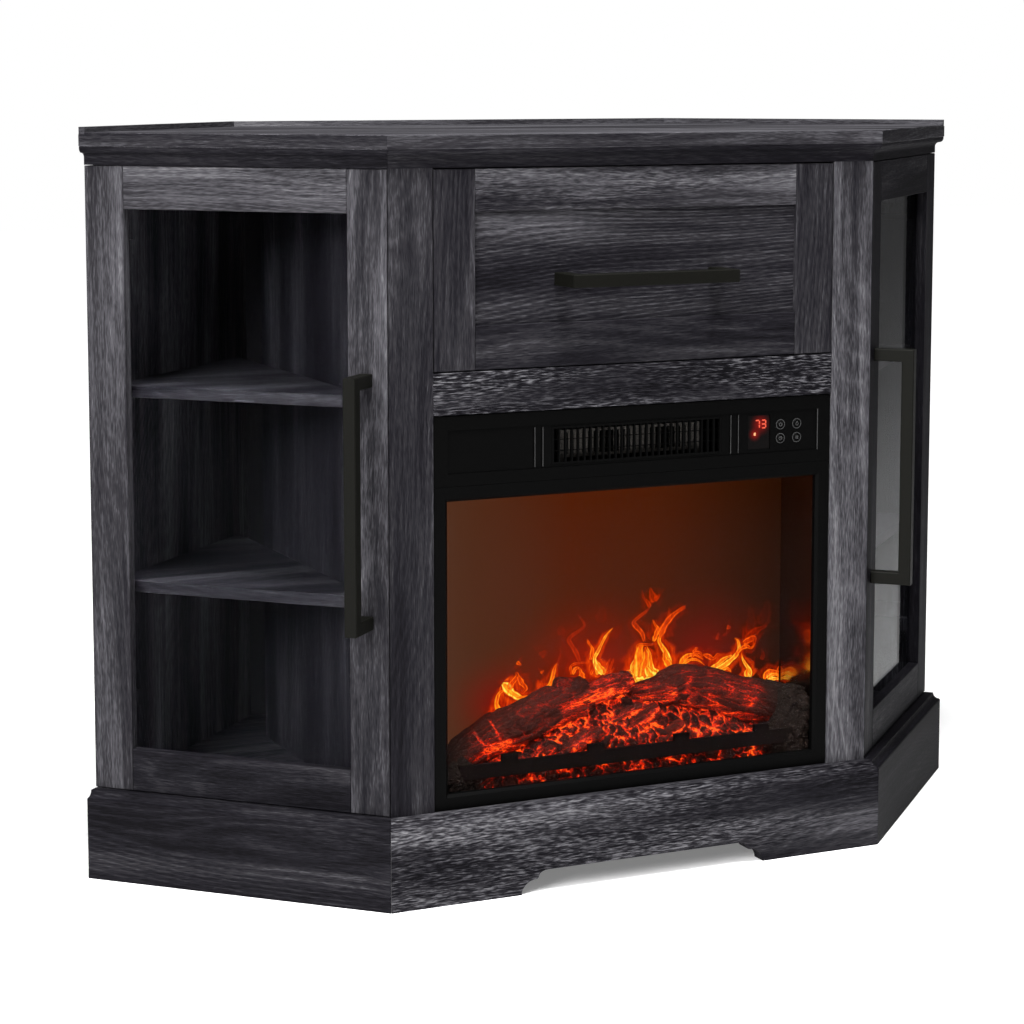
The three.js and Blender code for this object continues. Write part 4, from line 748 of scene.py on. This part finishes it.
def log_piece(name, axis, radii, plates, glow, seed, long_plates=3.2, girdles=()):
    """A bent log: centre(s) + radius(s, turn) * (cos(turn) * side + sin(turn) * up).

    The axis is a list of (x, depth behind the bed's front, height) in millimetres. The radius follows
    the radii, swells by slow noise, is grooved by stretched noise and sinks at the cracks. A plate of bark
    is long_plates times as long as wide. Girdles are upright cracks across the front, at places along X.
    """
    axis = np.array(axis, float) * MM + np.array([0.0, bed_low.y, 0.0])
    length = np.linalg.norm(np.diff(axis, axis=0), axis=1).sum()
    widest = max(radii) * MM
    girth = 2 * math.pi * widest
    rows, around = int(length / LONG_STEP) + 2, int(girth / SIDE_STEP)
    centre = curve_through(axis, rows)
    ahead = np.gradient(centre, axis=0)
    ahead /= np.linalg.norm(ahead, axis=1)[:, None]
    side = np.cross(ahead, [0.0, 0.0, 1.0] if abs(ahead[0, 2]) < 0.9 else [0.0, 1.0, 0.0])
    side /= np.linalg.norm(side, axis=1)[:, None]
    up = np.cross(side, ahead)
    turn = np.linspace(0, 2 * math.pi, around, endpoint=False)
    s = np.linspace(0, length, rows)[:, None] + 0 * turn
    a = turn + 0 * s
    round_share = a / (2 * math.pi)
    base = curve_through(np.array(radii)[:, None] * MM, rows)

    def uneven(step, rounds, more):
        """Noise that changes in this length along the log, and this many times round it."""
        return rough(s / step, round_share * rounds, seed + more, 3, rounds)

    rng = np.random.default_rng(seed)
    count = max(4, int(plates * length / 0.1))
    at = rng.random((count, 2)) * [length, girth]
    seeds = np.concatenate([at, at + [0, girth], at - [0, girth]]) / [long_plates, 1.0]
    wander = uneven(0.008, 20, 5) * 2.4 * MM
    flat = np.stack([(s + 1.6 * wander) / long_plates, round_share * girth + wander], -1).reshape(-1, 2)
    gap = seams(flat, seeds).reshape(rows, around)
    along = (centre[:, None] + (base * np.cos(a))[..., None] * side[:, None])[..., 0] + 0.5 * wander
    for place_x in girdles:
        across = np.abs(along - place_x * MM) + 9 * MM * (1 - ease(np.cos(a), 0.0, 0.3))
        gap = np.minimum(gap, across)
    crack = np.exp(-(gap / CRACK_WIDTH) ** 2)
    thin = np.exp(-(gap / GLOW_WIDTH) ** 2)
    radius = base * (1 + SWELL * uneven(0.03, 8, 0) + GROOVE * uneven(0.016, 32, 9)) - CRACK_DEPTH * crack
    tip = np.minimum(s, length - s) / (TIP_LENGTH * base)
    radius = radius * (TIP_SHARE + (1 - TIP_SHARE) * np.sqrt(np.clip(tip, 0, 1)))
    rings = centre[:, None] + radius[..., None] * (np.cos(a)[..., None] * side[:, None]
                                                   + np.sin(a)[..., None] * up[:, None])
    # Painted light: the glow is stronger on each log's lower side, lit by the embers below, and a little lies
    # over all of it.
    patch = ease(uneven(0.022, 7, 3), -0.30, 0.35)
    low = ease(-np.sin(a), -0.95, 0.6)
    shine = thin * glow * (0.30 + 0.70 * patch) * (0.38 + 0.62 * low)
    shine = shine + 0.40 * glow * patch * (0.3 + 0.7 * low) + 0.12 * glow
    for place_x in girdles:
        near = np.exp(-((along - place_x * MM) / GIRDLE_WIDTH) ** 2)
        shine = np.maximum(shine, 0.75 * near * ease(np.cos(a), 0.15, 0.45))
    cold = ease(np.abs(rings[..., 0]), COLD_FROM, COLD_TO)
    shine = shine * (1 - 0.85 * ease(np.abs(rings[..., 0]), COLD_FROM + 0.01, COLD_TO))
    return ringed(name, rings, bark, {"glow": shine, "stone": 0.9 * cold})


COLD_FROM, COLD_TO = 0.160, 0.205
LOGS = {
    "log_left": ([(-222, 40, 116), (-185, 44, 139), (-145, 45, 158), (-115, 45, 166), (-77, 45, 181),
                  (-49, 44, 189), (-30, 43, 195)], (14, 20, 24, 25, 25, 23, 20), 52, 0.55, 11,
                 3.6, (-166, -148)),
    "log_left_stub": ([(-64, 45, 184), (-62, 45, 198), (-60, 45, 213)], (12, 13, 12), 30, 0.5, 12),
    "log_upper": ([(-80, 36, 180), (-40, 33, 194), (0, 33, 203), (16, 34, 206)], (11, 13, 14, 12), 70, 0.95,
                  13, 7.0),
    "log_right": ([(16, 45, 184), (56, 45, 186), (80, 45, 191), (110, 45, 186), (150, 45, 172),
                   (195, 45, 160), (226, 42, 152)], (13, 18, 23, 24, 25, 25, 22), 60, 0.75, 14, 5.0),
    "brand_upper": ([(-14, 27, 160), (6, 26, 169), (26, 27, 177)], (8, 9, 8), 70, 0.95, 15, 4.0),
    "brand_middle": ([(0, 23, 150), (22, 22, 162), (46, 23, 173)], (9, 11, 9), 60, 1.0, 16, 4.0),
    "brand_low_left": ([(-76, 17, 138), (-52, 17, 147), (-27, 18, 155)], (9, 11, 9), 60, 0.85, 17, 4.0),
    "brand_small": ([(-98, 15, 137), (-86, 15, 143)], (8, 8), 60, 0.8, 18),
    "brand_low_right": ([(43, 17, 134), (58, 17, 144), (75, 18, 154)], (9, 10, 8), 60, 1.2, 19),
    "brand_dark": ([(97, 14, 136), (104, 14, 146)], (7, 7), 60, 0.6, 20),
}
for name, shape in LOGS.items():
    made = log_piece(name, *shape)
    print(name, len(made.data.polygons), "faces")

# %% [markdown]
# ## Ember bed
# Behind the grate lies a bank of embers. Its section is a loop: up the front, over the slope, down the
# back. The loop is carried from left to right while its height follows the photograph's skyline. Cell
# noise makes the lumps, and the glow comes up between them. At both ends the bank is a rough stone edge.

# %% Ember bed
SKYLINE = [(-228, 118), (-205, 138), (-188, 144), (-170, 128), (-119, 141), (-92, 155), (-55, 170),
           (-24, 180), (0, 192), (28, 186), (63, 168), (99, 163), (142, 152), (164, 139), (190, 142),
           (203, 176), (215, 182), (228, 180)]
SLOPE_FOOT, BANK_DEPTH = 0.124, 72.0
LUMPS, LUMP_WIDTH, LUMP_HEIGHT, LUMP_WANDER = 520, 3.0 * MM, 4.5, 5.0 * MM


def ember_bed():
    """The bank: for each x a loop of (y, z) places, its front and top pushed out by lumps.

    The loop's corners are front foot, grate height, slope foot, crest and rear, joined by straight
    lines. Their heights are shares of the skyline at that x. The lumps rise by 1 - exp(-gap), where gap
    is the distance to a crack, and the glow is exp(-gap^2).
    """
    columns, up_front, behind = 400, 120, 24
    x = np.linspace(bed_low.x, bed_high.x, columns)[:, None]
    edge = ease(np.abs(x), 0.186, 0.206)
    crest = np.interp(x[:, 0], *(np.array(SKYLINE).T * MM))[:, None]
    depth = [9.0 - 7.0 * edge, 8.0 - 6.0 * edge, 12.0 - 9.0 * edge, 34.0 - 24.0 * edge,
             BANK_DEPTH + 0 * edge]
    slope_top = SLOPE_FOOT + (crest - SLOPE_FOOT) * (0.35 + 0.45 * edge)
    height = [0 * x + bed_low.z, 0 * x + SLOPE_FOOT, slope_top, crest, crest - 0.008]
    corners = np.concatenate([depth, height], 2)
    t = np.linspace(0, len(corners) - 1, up_front)
    first = np.minimum(t.astype(int), len(corners) - 2)
    rise = (corners[first + 1] - corners[first]) * (t - first)[:, None, None]
    y, z = (corners[first] + rise).transpose(2, 1, 0)
    run = np.concatenate([np.zeros((columns, 1)), np.cumsum(np.hypot(np.diff(y) * MM, np.diff(z)), 1)], 1)
    across = np.broadcast_to(x, y.shape)
    rng = np.random.default_rng(5)
    seeds = rng.random((LUMPS, 2)) * [bed_high.x - bed_low.x, run.max()] + [bed_low.x, 0]
    wander = rough(across / 0.007, run / 0.007, 6, 3) * LUMP_WANDER
    gap = seams(np.stack([across + wander, run - wander], -1).reshape(-1, 2), seeds).reshape(y.shape)
    lump = LUMP_HEIGHT * (1 - np.exp(-gap / LUMP_WIDTH) + rough(across / 0.014, run / 0.014, 8, 4))
    lump = lump * (1 - 0.5 * ease(run, 0.08, 0.12))
    slope_y = np.gradient(z, axis=1)
    slope_z = -np.gradient(y, axis=1) * MM
    size = np.hypot(slope_y, slope_z) + 1e-9
    y = y * MM - lump * MM * slope_y / size
    z = z - lump * MM * slope_z / size
    low_share = ease(z, 0.120, 0.128)
    hearth = ease(rough(across / 0.016, run / 0.012, 21, 3), -0.45, 0.45)
    glow = np.exp(-(gap / (1.5 * MM)) ** 2) * (0.30 + 0.60 * hearth) * (0.8 + 0.3 * low_share)
    glow = glow + 0.26 * hearth * (1 - ease(gap, 0.5 * MM, 5 * MM)) + 0.16 * hearth
    fade = 1 - ease(np.abs(across), 0.162, 0.186)
    values = {"glow": glow * fade, "stone": np.broadcast_to(1 - fade, glow.shape)}
    back = np.linspace(0, 1, behind)[None, 1:]
    back_y = y[:, -1:] + (BANK_DEPTH * MM - y[:, -1:]) * back
    back_z = z[:, -1:] + (bed_low.z - z[:, -1:]) * back
    loop_y = np.concatenate([y, back_y], 1) + bed_low.y
    loop_z = np.maximum(np.concatenate([z, back_z], 1), bed_low.z)
    rings = np.stack([np.broadcast_to(x, loop_y.shape), loop_y, loop_z], -1)
    spare = np.zeros((columns, behind - 1))
    values = {key: np.concatenate([numbers, spare + numbers[:, -1:]], 1) for key, numbers in values.items()}
    return ringed("ember_bank", rings, ember, values)


bank = ember_bed()
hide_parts("log_bed")
print("ember bank faces:", len(bank.data.polygons))

# %% [markdown]
# ## Grate
# A flat bar with four square studs stands in front of the embers. Its outline is drawn once and given
# its thickness, and a small bevel catches the light along its edges.

# %% Grate
GRATE_LOW, GRATE_HIGH, STUD_HIGH = 0.1232, 0.1394, 0.1474
STUDS, STUD_HALF, GRATE_HALF, GRATE_THICK = (-0.147, -0.043, 0.064, 0.166), 0.0096, 0.2066, 0.005
outline = [(-GRATE_HALF, GRATE_LOW), (-GRATE_HALF, GRATE_HIGH)]
for stud in STUDS:
    outline += [(stud - STUD_HALF, GRATE_HIGH), (stud - STUD_HALF, STUD_HIGH),
                (stud + STUD_HALF, STUD_HIGH), (stud + STUD_HALF, GRATE_HIGH)]
outline += [(GRATE_HALF, GRATE_HIGH), (GRATE_HALF, GRATE_LOW)]
iron = mottled("grate_iron", "#020101", "#090504", 1.5, 0.7, 0.2, 0.02)
cap = [range(len(outline) - 1, -1, -1)]
grate = slab("grate", outline, bed_low.y, bed_low.y + GRATE_THICK, cap, iron)
soften = grate.modifiers.new("edges", "BEVEL")
soften.width, soften.segments = 0.6 * MM, 2
soften.limit_method = "ANGLE"

# %% [markdown]
# ## Flames on the screen
# In such a fire the flames are a moving picture: a lamp shines on turning mirrors, and they throw
# tongues of light on a screen behind the logs. Here each tongue is a ribbon that lies on the screen.
# A ribbon is a curve through a few points, read as pixels of the photograph and carried to the screen
# along the lines of sight. Its middle is yellow, and its edge fades through orange and red to nothing.

# %% Screen
# The light on the screen is painted into its emission: grey-brown at the left, where it is a painted
# reflection, orange-brown in the middle and nearly black at the right. Behind each group of flames it
# is lifted to a dull red, in painted pools of light.
screen_low, screen_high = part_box("flame_screen")
SCREEN_TONES = [(0.0, "#523627"), (0.15, "#4d2916"), (0.42, "#4d1900"),
                (0.65, "#471700"), (0.85, "#331000"), (1.0, "#220a00")]
POOLS = [((-0.125, 0.185), (0.08, 0.07), "#761004"), ((-0.01, 0.215), (0.14, 0.10), "#861602"),
         ((0.13, 0.215), (0.11, 0.10), "#6c0e02")]
POOL_POWER = 2.0
cloth, shader, place = finish_named("flame_screen_cloth")
along = spread(node("SeparateXYZ", {0: place}), screen_low.x, screen_high.x)
light = pooled(place, ramp(along, SCREEN_TONES), POOLS, POOL_POWER)
weave = ramp(noise(place, 260.0, 3.0), [(0.3, "#020101"), (0.7, "#050302")])
feed(shader, {"Base Color": weave, "Roughness": 0.8, "Specular IOR Level": 0.05,
              "Emission Color": light, "Emission Strength": 1.0})
coat("flame_screen", cloth)

# %% Places of the flames
# Each flame: its width, its warmth, and the places of its middle line. Widths and places are counted in
# pixels of a part of the photograph, enlarged, from that part's upper left corner.
LEFT_CORNER, RIGHT_CORNER, ENLARGED = (440.0, 560.0), (620.0, 540.0), 6.03
FLAMES_LEFT = [
    (12, .75, (375, 925), (345, 890), (340, 850), (355, 805), (385, 785), (415, 780)),
    (22, .95, (375, 745), (400, 765), (430, 800), (470, 825), (510, 850), (545, 855)),
    (10, .70, (545, 855), (530, 830), (500, 825), (460, 830)),
    (20, .50, (415, 780), (430, 745), (455, 715), (465, 690), (450, 680)),
    (16, .50, (470, 700), (490, 740), (515, 770), (500, 795), (480, 800)),
    (14, .70, (300, 942), (340, 925), (380, 920), (400, 895), (395, 880)),
    (18, .85, (400, 915), (440, 900), (470, 880), (460, 855)),
    (12, .90, (450, 900), (490, 885), (530, 865), (555, 850)),
    (20, .30, (280, 945), (310, 915), (330, 880)),
    (18, .75, (560, 840), (610, 810), (650, 770), (670, 730), (680, 690), (690, 650), (705, 620)),
    (20, .90, (600, 815), (640, 790), (665, 760), (672, 735)),
    (8, .30, (685, 700), (700, 650), (715, 600), (725, 560), (720, 520)),
    (10, .50, (462, 615), (475, 625), (490, 632)),
    (7, .50, (605, 682), (615, 674), (627, 665)),
    (22, .25, (605, 580), (622, 562), (645, 550)),
    (14, .33, (840, 610), (820, 560), (790, 510), (775, 480), (800, 450), (840, 425), (870, 395), (860, 370),
               (830, 330)),
    (20, .18, (735, 450), (725, 410), (720, 395)),
    (9, .45, (790, 690), (785, 650), (800, 630), (840, 620), (890, 620), (930, 635)),
    (10, .60, (800, 690), (810, 660), (830, 650), (850, 665), (860, 700)),
    (22, .62, (850, 715), (852, 690), (838, 655)),
    (14, .95, (975, 690), (955, 660), (935, 625), (930, 590), (945, 560), (965, 520), (985, 480),
               (1010, 440), (1040, 410)),
    (14, .90, (980, 690), (985, 665), (965, 640), (940, 600)),
    (12, .60, (905, 600), (915, 560), (915, 530), (895, 500), (885, 475)),
    (12, .40, (945, 560), (960, 520), (975, 470), (980, 430)),
    (8, .80, (950, 690), (940, 670), (930, 655)),
    (10, .50, (905, 690), (925, 650), (930, 610)),
    (10, .45, (985, 680), (1000, 650), (1010, 620), (1025, 590)),
    (8, .38, (1020, 660), (1040, 610), (1045, 590)),
    (6, .45, (1000, 660), (995, 640), (980, 620)),
    (10, .42, (985, 690), (1030, 670), (1050, 650)),
    (34, .14, (960, 370), (975, 320), (985, 270)),
    (30, .16, (1040, 470), (1070, 420), (1090, 390)),
]
FLAMES_RIGHT = [
    (16, .95, (105, 860), (95, 820), (75, 790), (70, 760), (90, 720), (100, 680), (95, 640)),
    (42, .80, (120, 860), (125, 800), (120, 740), (115, 690), (120, 650), (140, 632)),
    (30, .72, (150, 855), (140, 800), (150, 740), (155, 690), (150, 645)),
    (18, .85, (250, 828), (215, 800), (190, 770), (180, 720), (175, 680), (160, 640)),
    (34, 1.0, (200, 845), (170, 800), (155, 760)),
    (24, 1.0, (90, 855), (120, 848), (150, 850), (190, 838), (245, 830)),
    (12, .90, (40, 795), (60, 800), (80, 820), (100, 850)),
    (8, .60, (30, 800), (50, 790), (70, 800)),
    (9, .45, (95, 640), (130, 630), (180, 630), (225, 625)),
    (17, .85, (302, 768), (290, 720), (275, 680), (250, 640), (235, 610), (240, 580), (260, 530)),
    (20, .50, (240, 580), (260, 530), (285, 490), (320, 450), (360, 420), (395, 393)),
    (20, .72, (305, 772), (285, 740), (270, 720), (265, 690), (270, 670)),
    (8, .32, (270, 600), (290, 640), (310, 690), (330, 710)),
    (14, .62, (200, 610), (215, 570), (225, 535), (210, 510), (195, 480)),
    (12, .38, (240, 590), (250, 560), (275, 500), (290, 460), (295, 400)),
    (14, .42, (145, 610), (130, 560), (95, 520), (80, 495), (110, 465), (155, 430), (180, 405)),
    (12, .34, (180, 405), (165, 375), (140, 345), (130, 300)),
    (26, .34, (212, 368), (195, 340), (185, 310), (180, 285)),
    (14, .34, (205, 360), (225, 345), (235, 320)),
    (10, .32, (390, 400), (370, 420), (340, 430)),
    (14, .70, (360, 757), (380, 720), (410, 695), (450, 690), (470, 700), (500, 720)),
    (10, .75, (370, 762), (395, 735), (430, 720), (470, 725), (510, 755)),
    (10, .50, (440, 680), (455, 655), (470, 648)),
    (10, .50, (430, 710), (450, 680), (480, 680), (490, 700), (480, 715)),
    (12, .45, (500, 690), (530, 700), (560, 715), (585, 690), (590, 700), (580, 735), (550, 745)),
    (14, .80, (540, 780), (580, 755), (620, 720), (660, 700), (680, 700)),
    (16, .90, (560, 785), (600, 770), (640, 745), (670, 720), (700, 690), (715, 650), (710, 610), (690, 590)),
    (12, .80, (600, 790), (640, 770), (670, 795)),
    (14, .60, (690, 700), (720, 660), (760, 640), (790, 650), (815, 618)),
    (12, .90, (785, 825), (775, 780), (750, 740), (735, 710), (730, 680)),
    (16, .85, (770, 825), (760, 800), (770, 770)),
    (28, .28, (760, 605), (790, 570), (830, 540), (885, 515)),
    (20, .45, (740, 620), (780, 600), (810, 590), (800, 640)),
    (14, .22, (850, 720), (860, 690), (850, 650)),
    (8, .32, (800, 740), (780, 720), (760, 710)),
    (42, .13, (780, 570), (790, 480), (780, 390)),
    (42, .12, (850, 510), (880, 430), (890, 360)),
    (14, .60, (868, 838), (880, 805), (910, 790), (945, 795), (970, 810), (995, 838)),
    (12, .85, (885, 835), (910, 815), (940, 810), (965, 832)),
    (10, .45, (950, 790), (960, 768), (975, 790), (990, 810)),
    (10, .95, (900, 843), (935, 834), (975, 842)),
    (30, .80, (1005, 852), (1050, 838), (1100, 826), (1145, 818)),
    (34, .62, (1020, 848), (1060, 822), (1100, 800), (1145, 786)),
    (12, .40, (643, 524), (655, 526), (668, 524)),
    (9, .36, (580, 600), (586, 580), (594, 556)),
    (8, .25, (622, 566), (627, 572), (630, 580)),
    (16, .48, (1135, 612), (1133, 590), (1138, 556)),
]

# %% Flame ribbons
FLAME_GAP = 0.4 * MM
PIXEL = 1.16 * MM
FLAME_WIDTH, HALO_WIDTH, HALO_MORE, HALO_HEAT = 1.6, 3.0, 8, 0.40
STEPS, COLUMNS = 26, 7


def ribbons(flames, corner_pixel, seed):
    """Points, faces, heat and place across for a list of flames.

    Each flame is a curve(t) + across * half width(t) * normal(t). The half width rises quickly, then falls
    as 1.3 - t towards the tip, and a wave of noise moves the sides. The heat falls slowly along it. Under
    each flame lies a halo: the same curve, wider and much cooler.
    """
    points, faces, heat, side = [], [], [], []
    across = np.linspace(-1, 1, COLUMNS)
    halos = [(width * HALO_WIDTH + HALO_MORE, warmth * HALO_HEAT, *places)
             for width, warmth, *places in flames]
    flames = halos + flames
    for order, (width, warmth, *places) in enumerate(flames):
        pixels = np.array(places) / ENLARGED + corner_pixel
        line = curve_through(at_depth(pixels, screen_low.y)[:, [0, 2]], STEPS)
        slope = np.gradient(line, axis=0)
        normal = np.stack([-slope[:, 1], slope[:, 0]], 1) / np.linalg.norm(slope, axis=1)[:, None]
        t = np.linspace(0, 1, STEPS)
        half = width / ENLARGED * PIXEL * FLAME_WIDTH
        half = half * ease(t, -0.15, 0.2) * (1.3 - t) * ease(1 - t, -0.1, 0.2)
        half = half * (1 + 0.5 * (lattice(t * 9, 0 * t + order, seed) - 0.5))
        flat = line[:, None] + across[:, None] * (half[:, None] * normal)[:, None]
        high = np.clip(flat[..., 0], screen_low.x + MM, screen_high.x - MM)
        level = screen_low.y - FLAME_GAP * (1 + order / len(flames))
        base = sum(len(p) for p in points)
        points.append(np.stack([high, np.full_like(high, level), flat[..., 1]], -1).reshape(-1, 3))
        grid = base + np.arange(STEPS * COLUMNS).reshape(STEPS, COLUMNS)
        quads = np.stack([grid[:-1, :-1], grid[1:, :-1], grid[1:, 1:], grid[:-1, 1:]], -1).reshape(-1, 4)
        faces += quads.tolist()
        heat.append(np.repeat(warmth * (1.05 - 0.3 * t), COLUMNS))
        side.append(np.tile(across, STEPS))
    return np.concatenate(points), faces, np.concatenate(heat), np.concatenate(side)


material, shader, place = finish_named("flame_light", "MixShader")
side = stored(place, "across")
licks = noise(stretch(place, (420.0, 1.0, 130.0)))
core = calc("SUBTRACT", 1.0, times(side, side), clamp=True)
off_crest = calc("SUBTRACT", calc("ABSOLUTE", side), 0.5)
crest = calc("SUBTRACT", 1.0, times(off_crest, off_crest, 16.0), clamp=True)
profile = plus(times(calc("POWER", core, 1.5), 0.72), times(crest, 0.5))
body = times(stored(place, "warmth"), profile, spread(licks, 0.3, 0.7, 0.8, 1.2))
light = ramp(body, [(0.0, "#c41c04"), (0.18, "#d42605"), (0.34, "#ee4008"),
                    (0.52, "#ff6c10"), (0.72, "#ffae20"), (0.92, "#fff060")])
feed(shader, {0: spread(times(body, body), 0.0, 0.2), 1: node("BsdfTransparent", tree=place.id_data),
              2: node("Emission", {"Color": light, "Strength": 1.0})})
for name, flames, corner, seed in (("flames_left", FLAMES_LEFT, LEFT_CORNER, 31),
                                   ("flames_right", FLAMES_RIGHT, RIGHT_CORNER, 32)):
    points, faces, warmth, across = ribbons(flames, corner, seed)
    piece_from(name, points, faces, material, values={"warmth": warmth, "across": across})
    print(name, len(flames), "ribbons", len(faces), "faces")

# %% [markdown]
# ## Studio
# The floor is pale and plain, and it must look white in the picture while it keeps the object's soft
# shadow. So it is a pale diffuse surface with a little light of its own, which only the camera sees,
# straight or through glass. The world does the same: white for those rays, and a plain level for the
# rest, which keeps black surfaces from mirroring a white room.

# %% World
WORLD_LIGHT = 0.18
world = bpy.data.worlds.new("studio")
world.use_nodes = True
bpy.context.scene.world = world
tree = world.node_tree
tree.nodes.clear()


def seen_directly(tree):
    """1 for what the camera sees, straight or through panes, and 0 after any diffuse or glossy bounce."""
    path = tree.nodes.new("ShaderNodeLightPath").outputs
    straight = calc("MAXIMUM", path["Is Camera Ray"], path["Is Transmission Ray"])
    bounced = plus(path["Diffuse Depth"], path["Glossy Depth"])
    return times(straight, calc("LESS_THAN", bounced, 0.5))


plain, white = (node("Background", {"Color": "#ffffff", "Strength": level}, tree=tree)
                for level in (WORLD_LIGHT, 1.0))
either = node("MixShader", {0: seen_directly(tree), 1: plain, 2: white})
feed(tree.nodes.new("ShaderNodeOutputWorld"), {0: either})

# %% Floor
FLOOR_HALF = 12.0
LIFT_FROM, LIFT_TO, LIFT_NEAR, LIFT_FAR = 1.0, 4.6, 0.2, 0.84
floor_mesh = bpy.data.meshes.new("studio_floor")
floor_corners = [(x * FLOOR_HALF, y * FLOOR_HALF, 0.0) for x, y in ((-1, -1), (1, -1), (1, 1), (-1, 1))]
floor_mesh.from_pydata(floor_corners, [], [(0, 1, 2, 3)])
placed("studio_floor", floor_mesh)
material, shader, place = finish_named("studio_floor")
lift = spread(vector("LENGTH", place), LIFT_FROM, LIFT_TO, LIFT_NEAR, LIFT_FAR)
feed(shader, {"Base Color": ramp(noise(place, 3.0), [(0.3, 0.86), (0.7, 0.88)]),
              "Roughness": 0.9, "Specular IOR Level": 0.0, "Emission Color": "#ffffff",
              "Emission Strength": times(seen_directly(place.id_data), lift)})
floor_mesh.materials.append(material)

# %% Lamps
def soft_lamp(name, place, size, watts):
    """A square soft lamp at a place, turned to face the middle of the stand."""
    data = bpy.data.lights.new(name, "AREA")
    data.size, data.energy = size, watts
    lamp = placed(name, data)
    lamp.location = place
    lamp.rotation_euler = (MIDDLE - Vector(place)).to_track_quat("-Z", "Y").to_euler()


MIDDLE = Vector((0.0, 0.0, 0.4))
soft_lamp("key_lamp", (-3.3, -2.4, 2.3), 1.8, 230.0)
soft_lamp("top_lamp", (-0.3, -1.0, 3.2), 1.2, 200.0)
bpy.context.scene.view_settings.view_transform = "Standard"
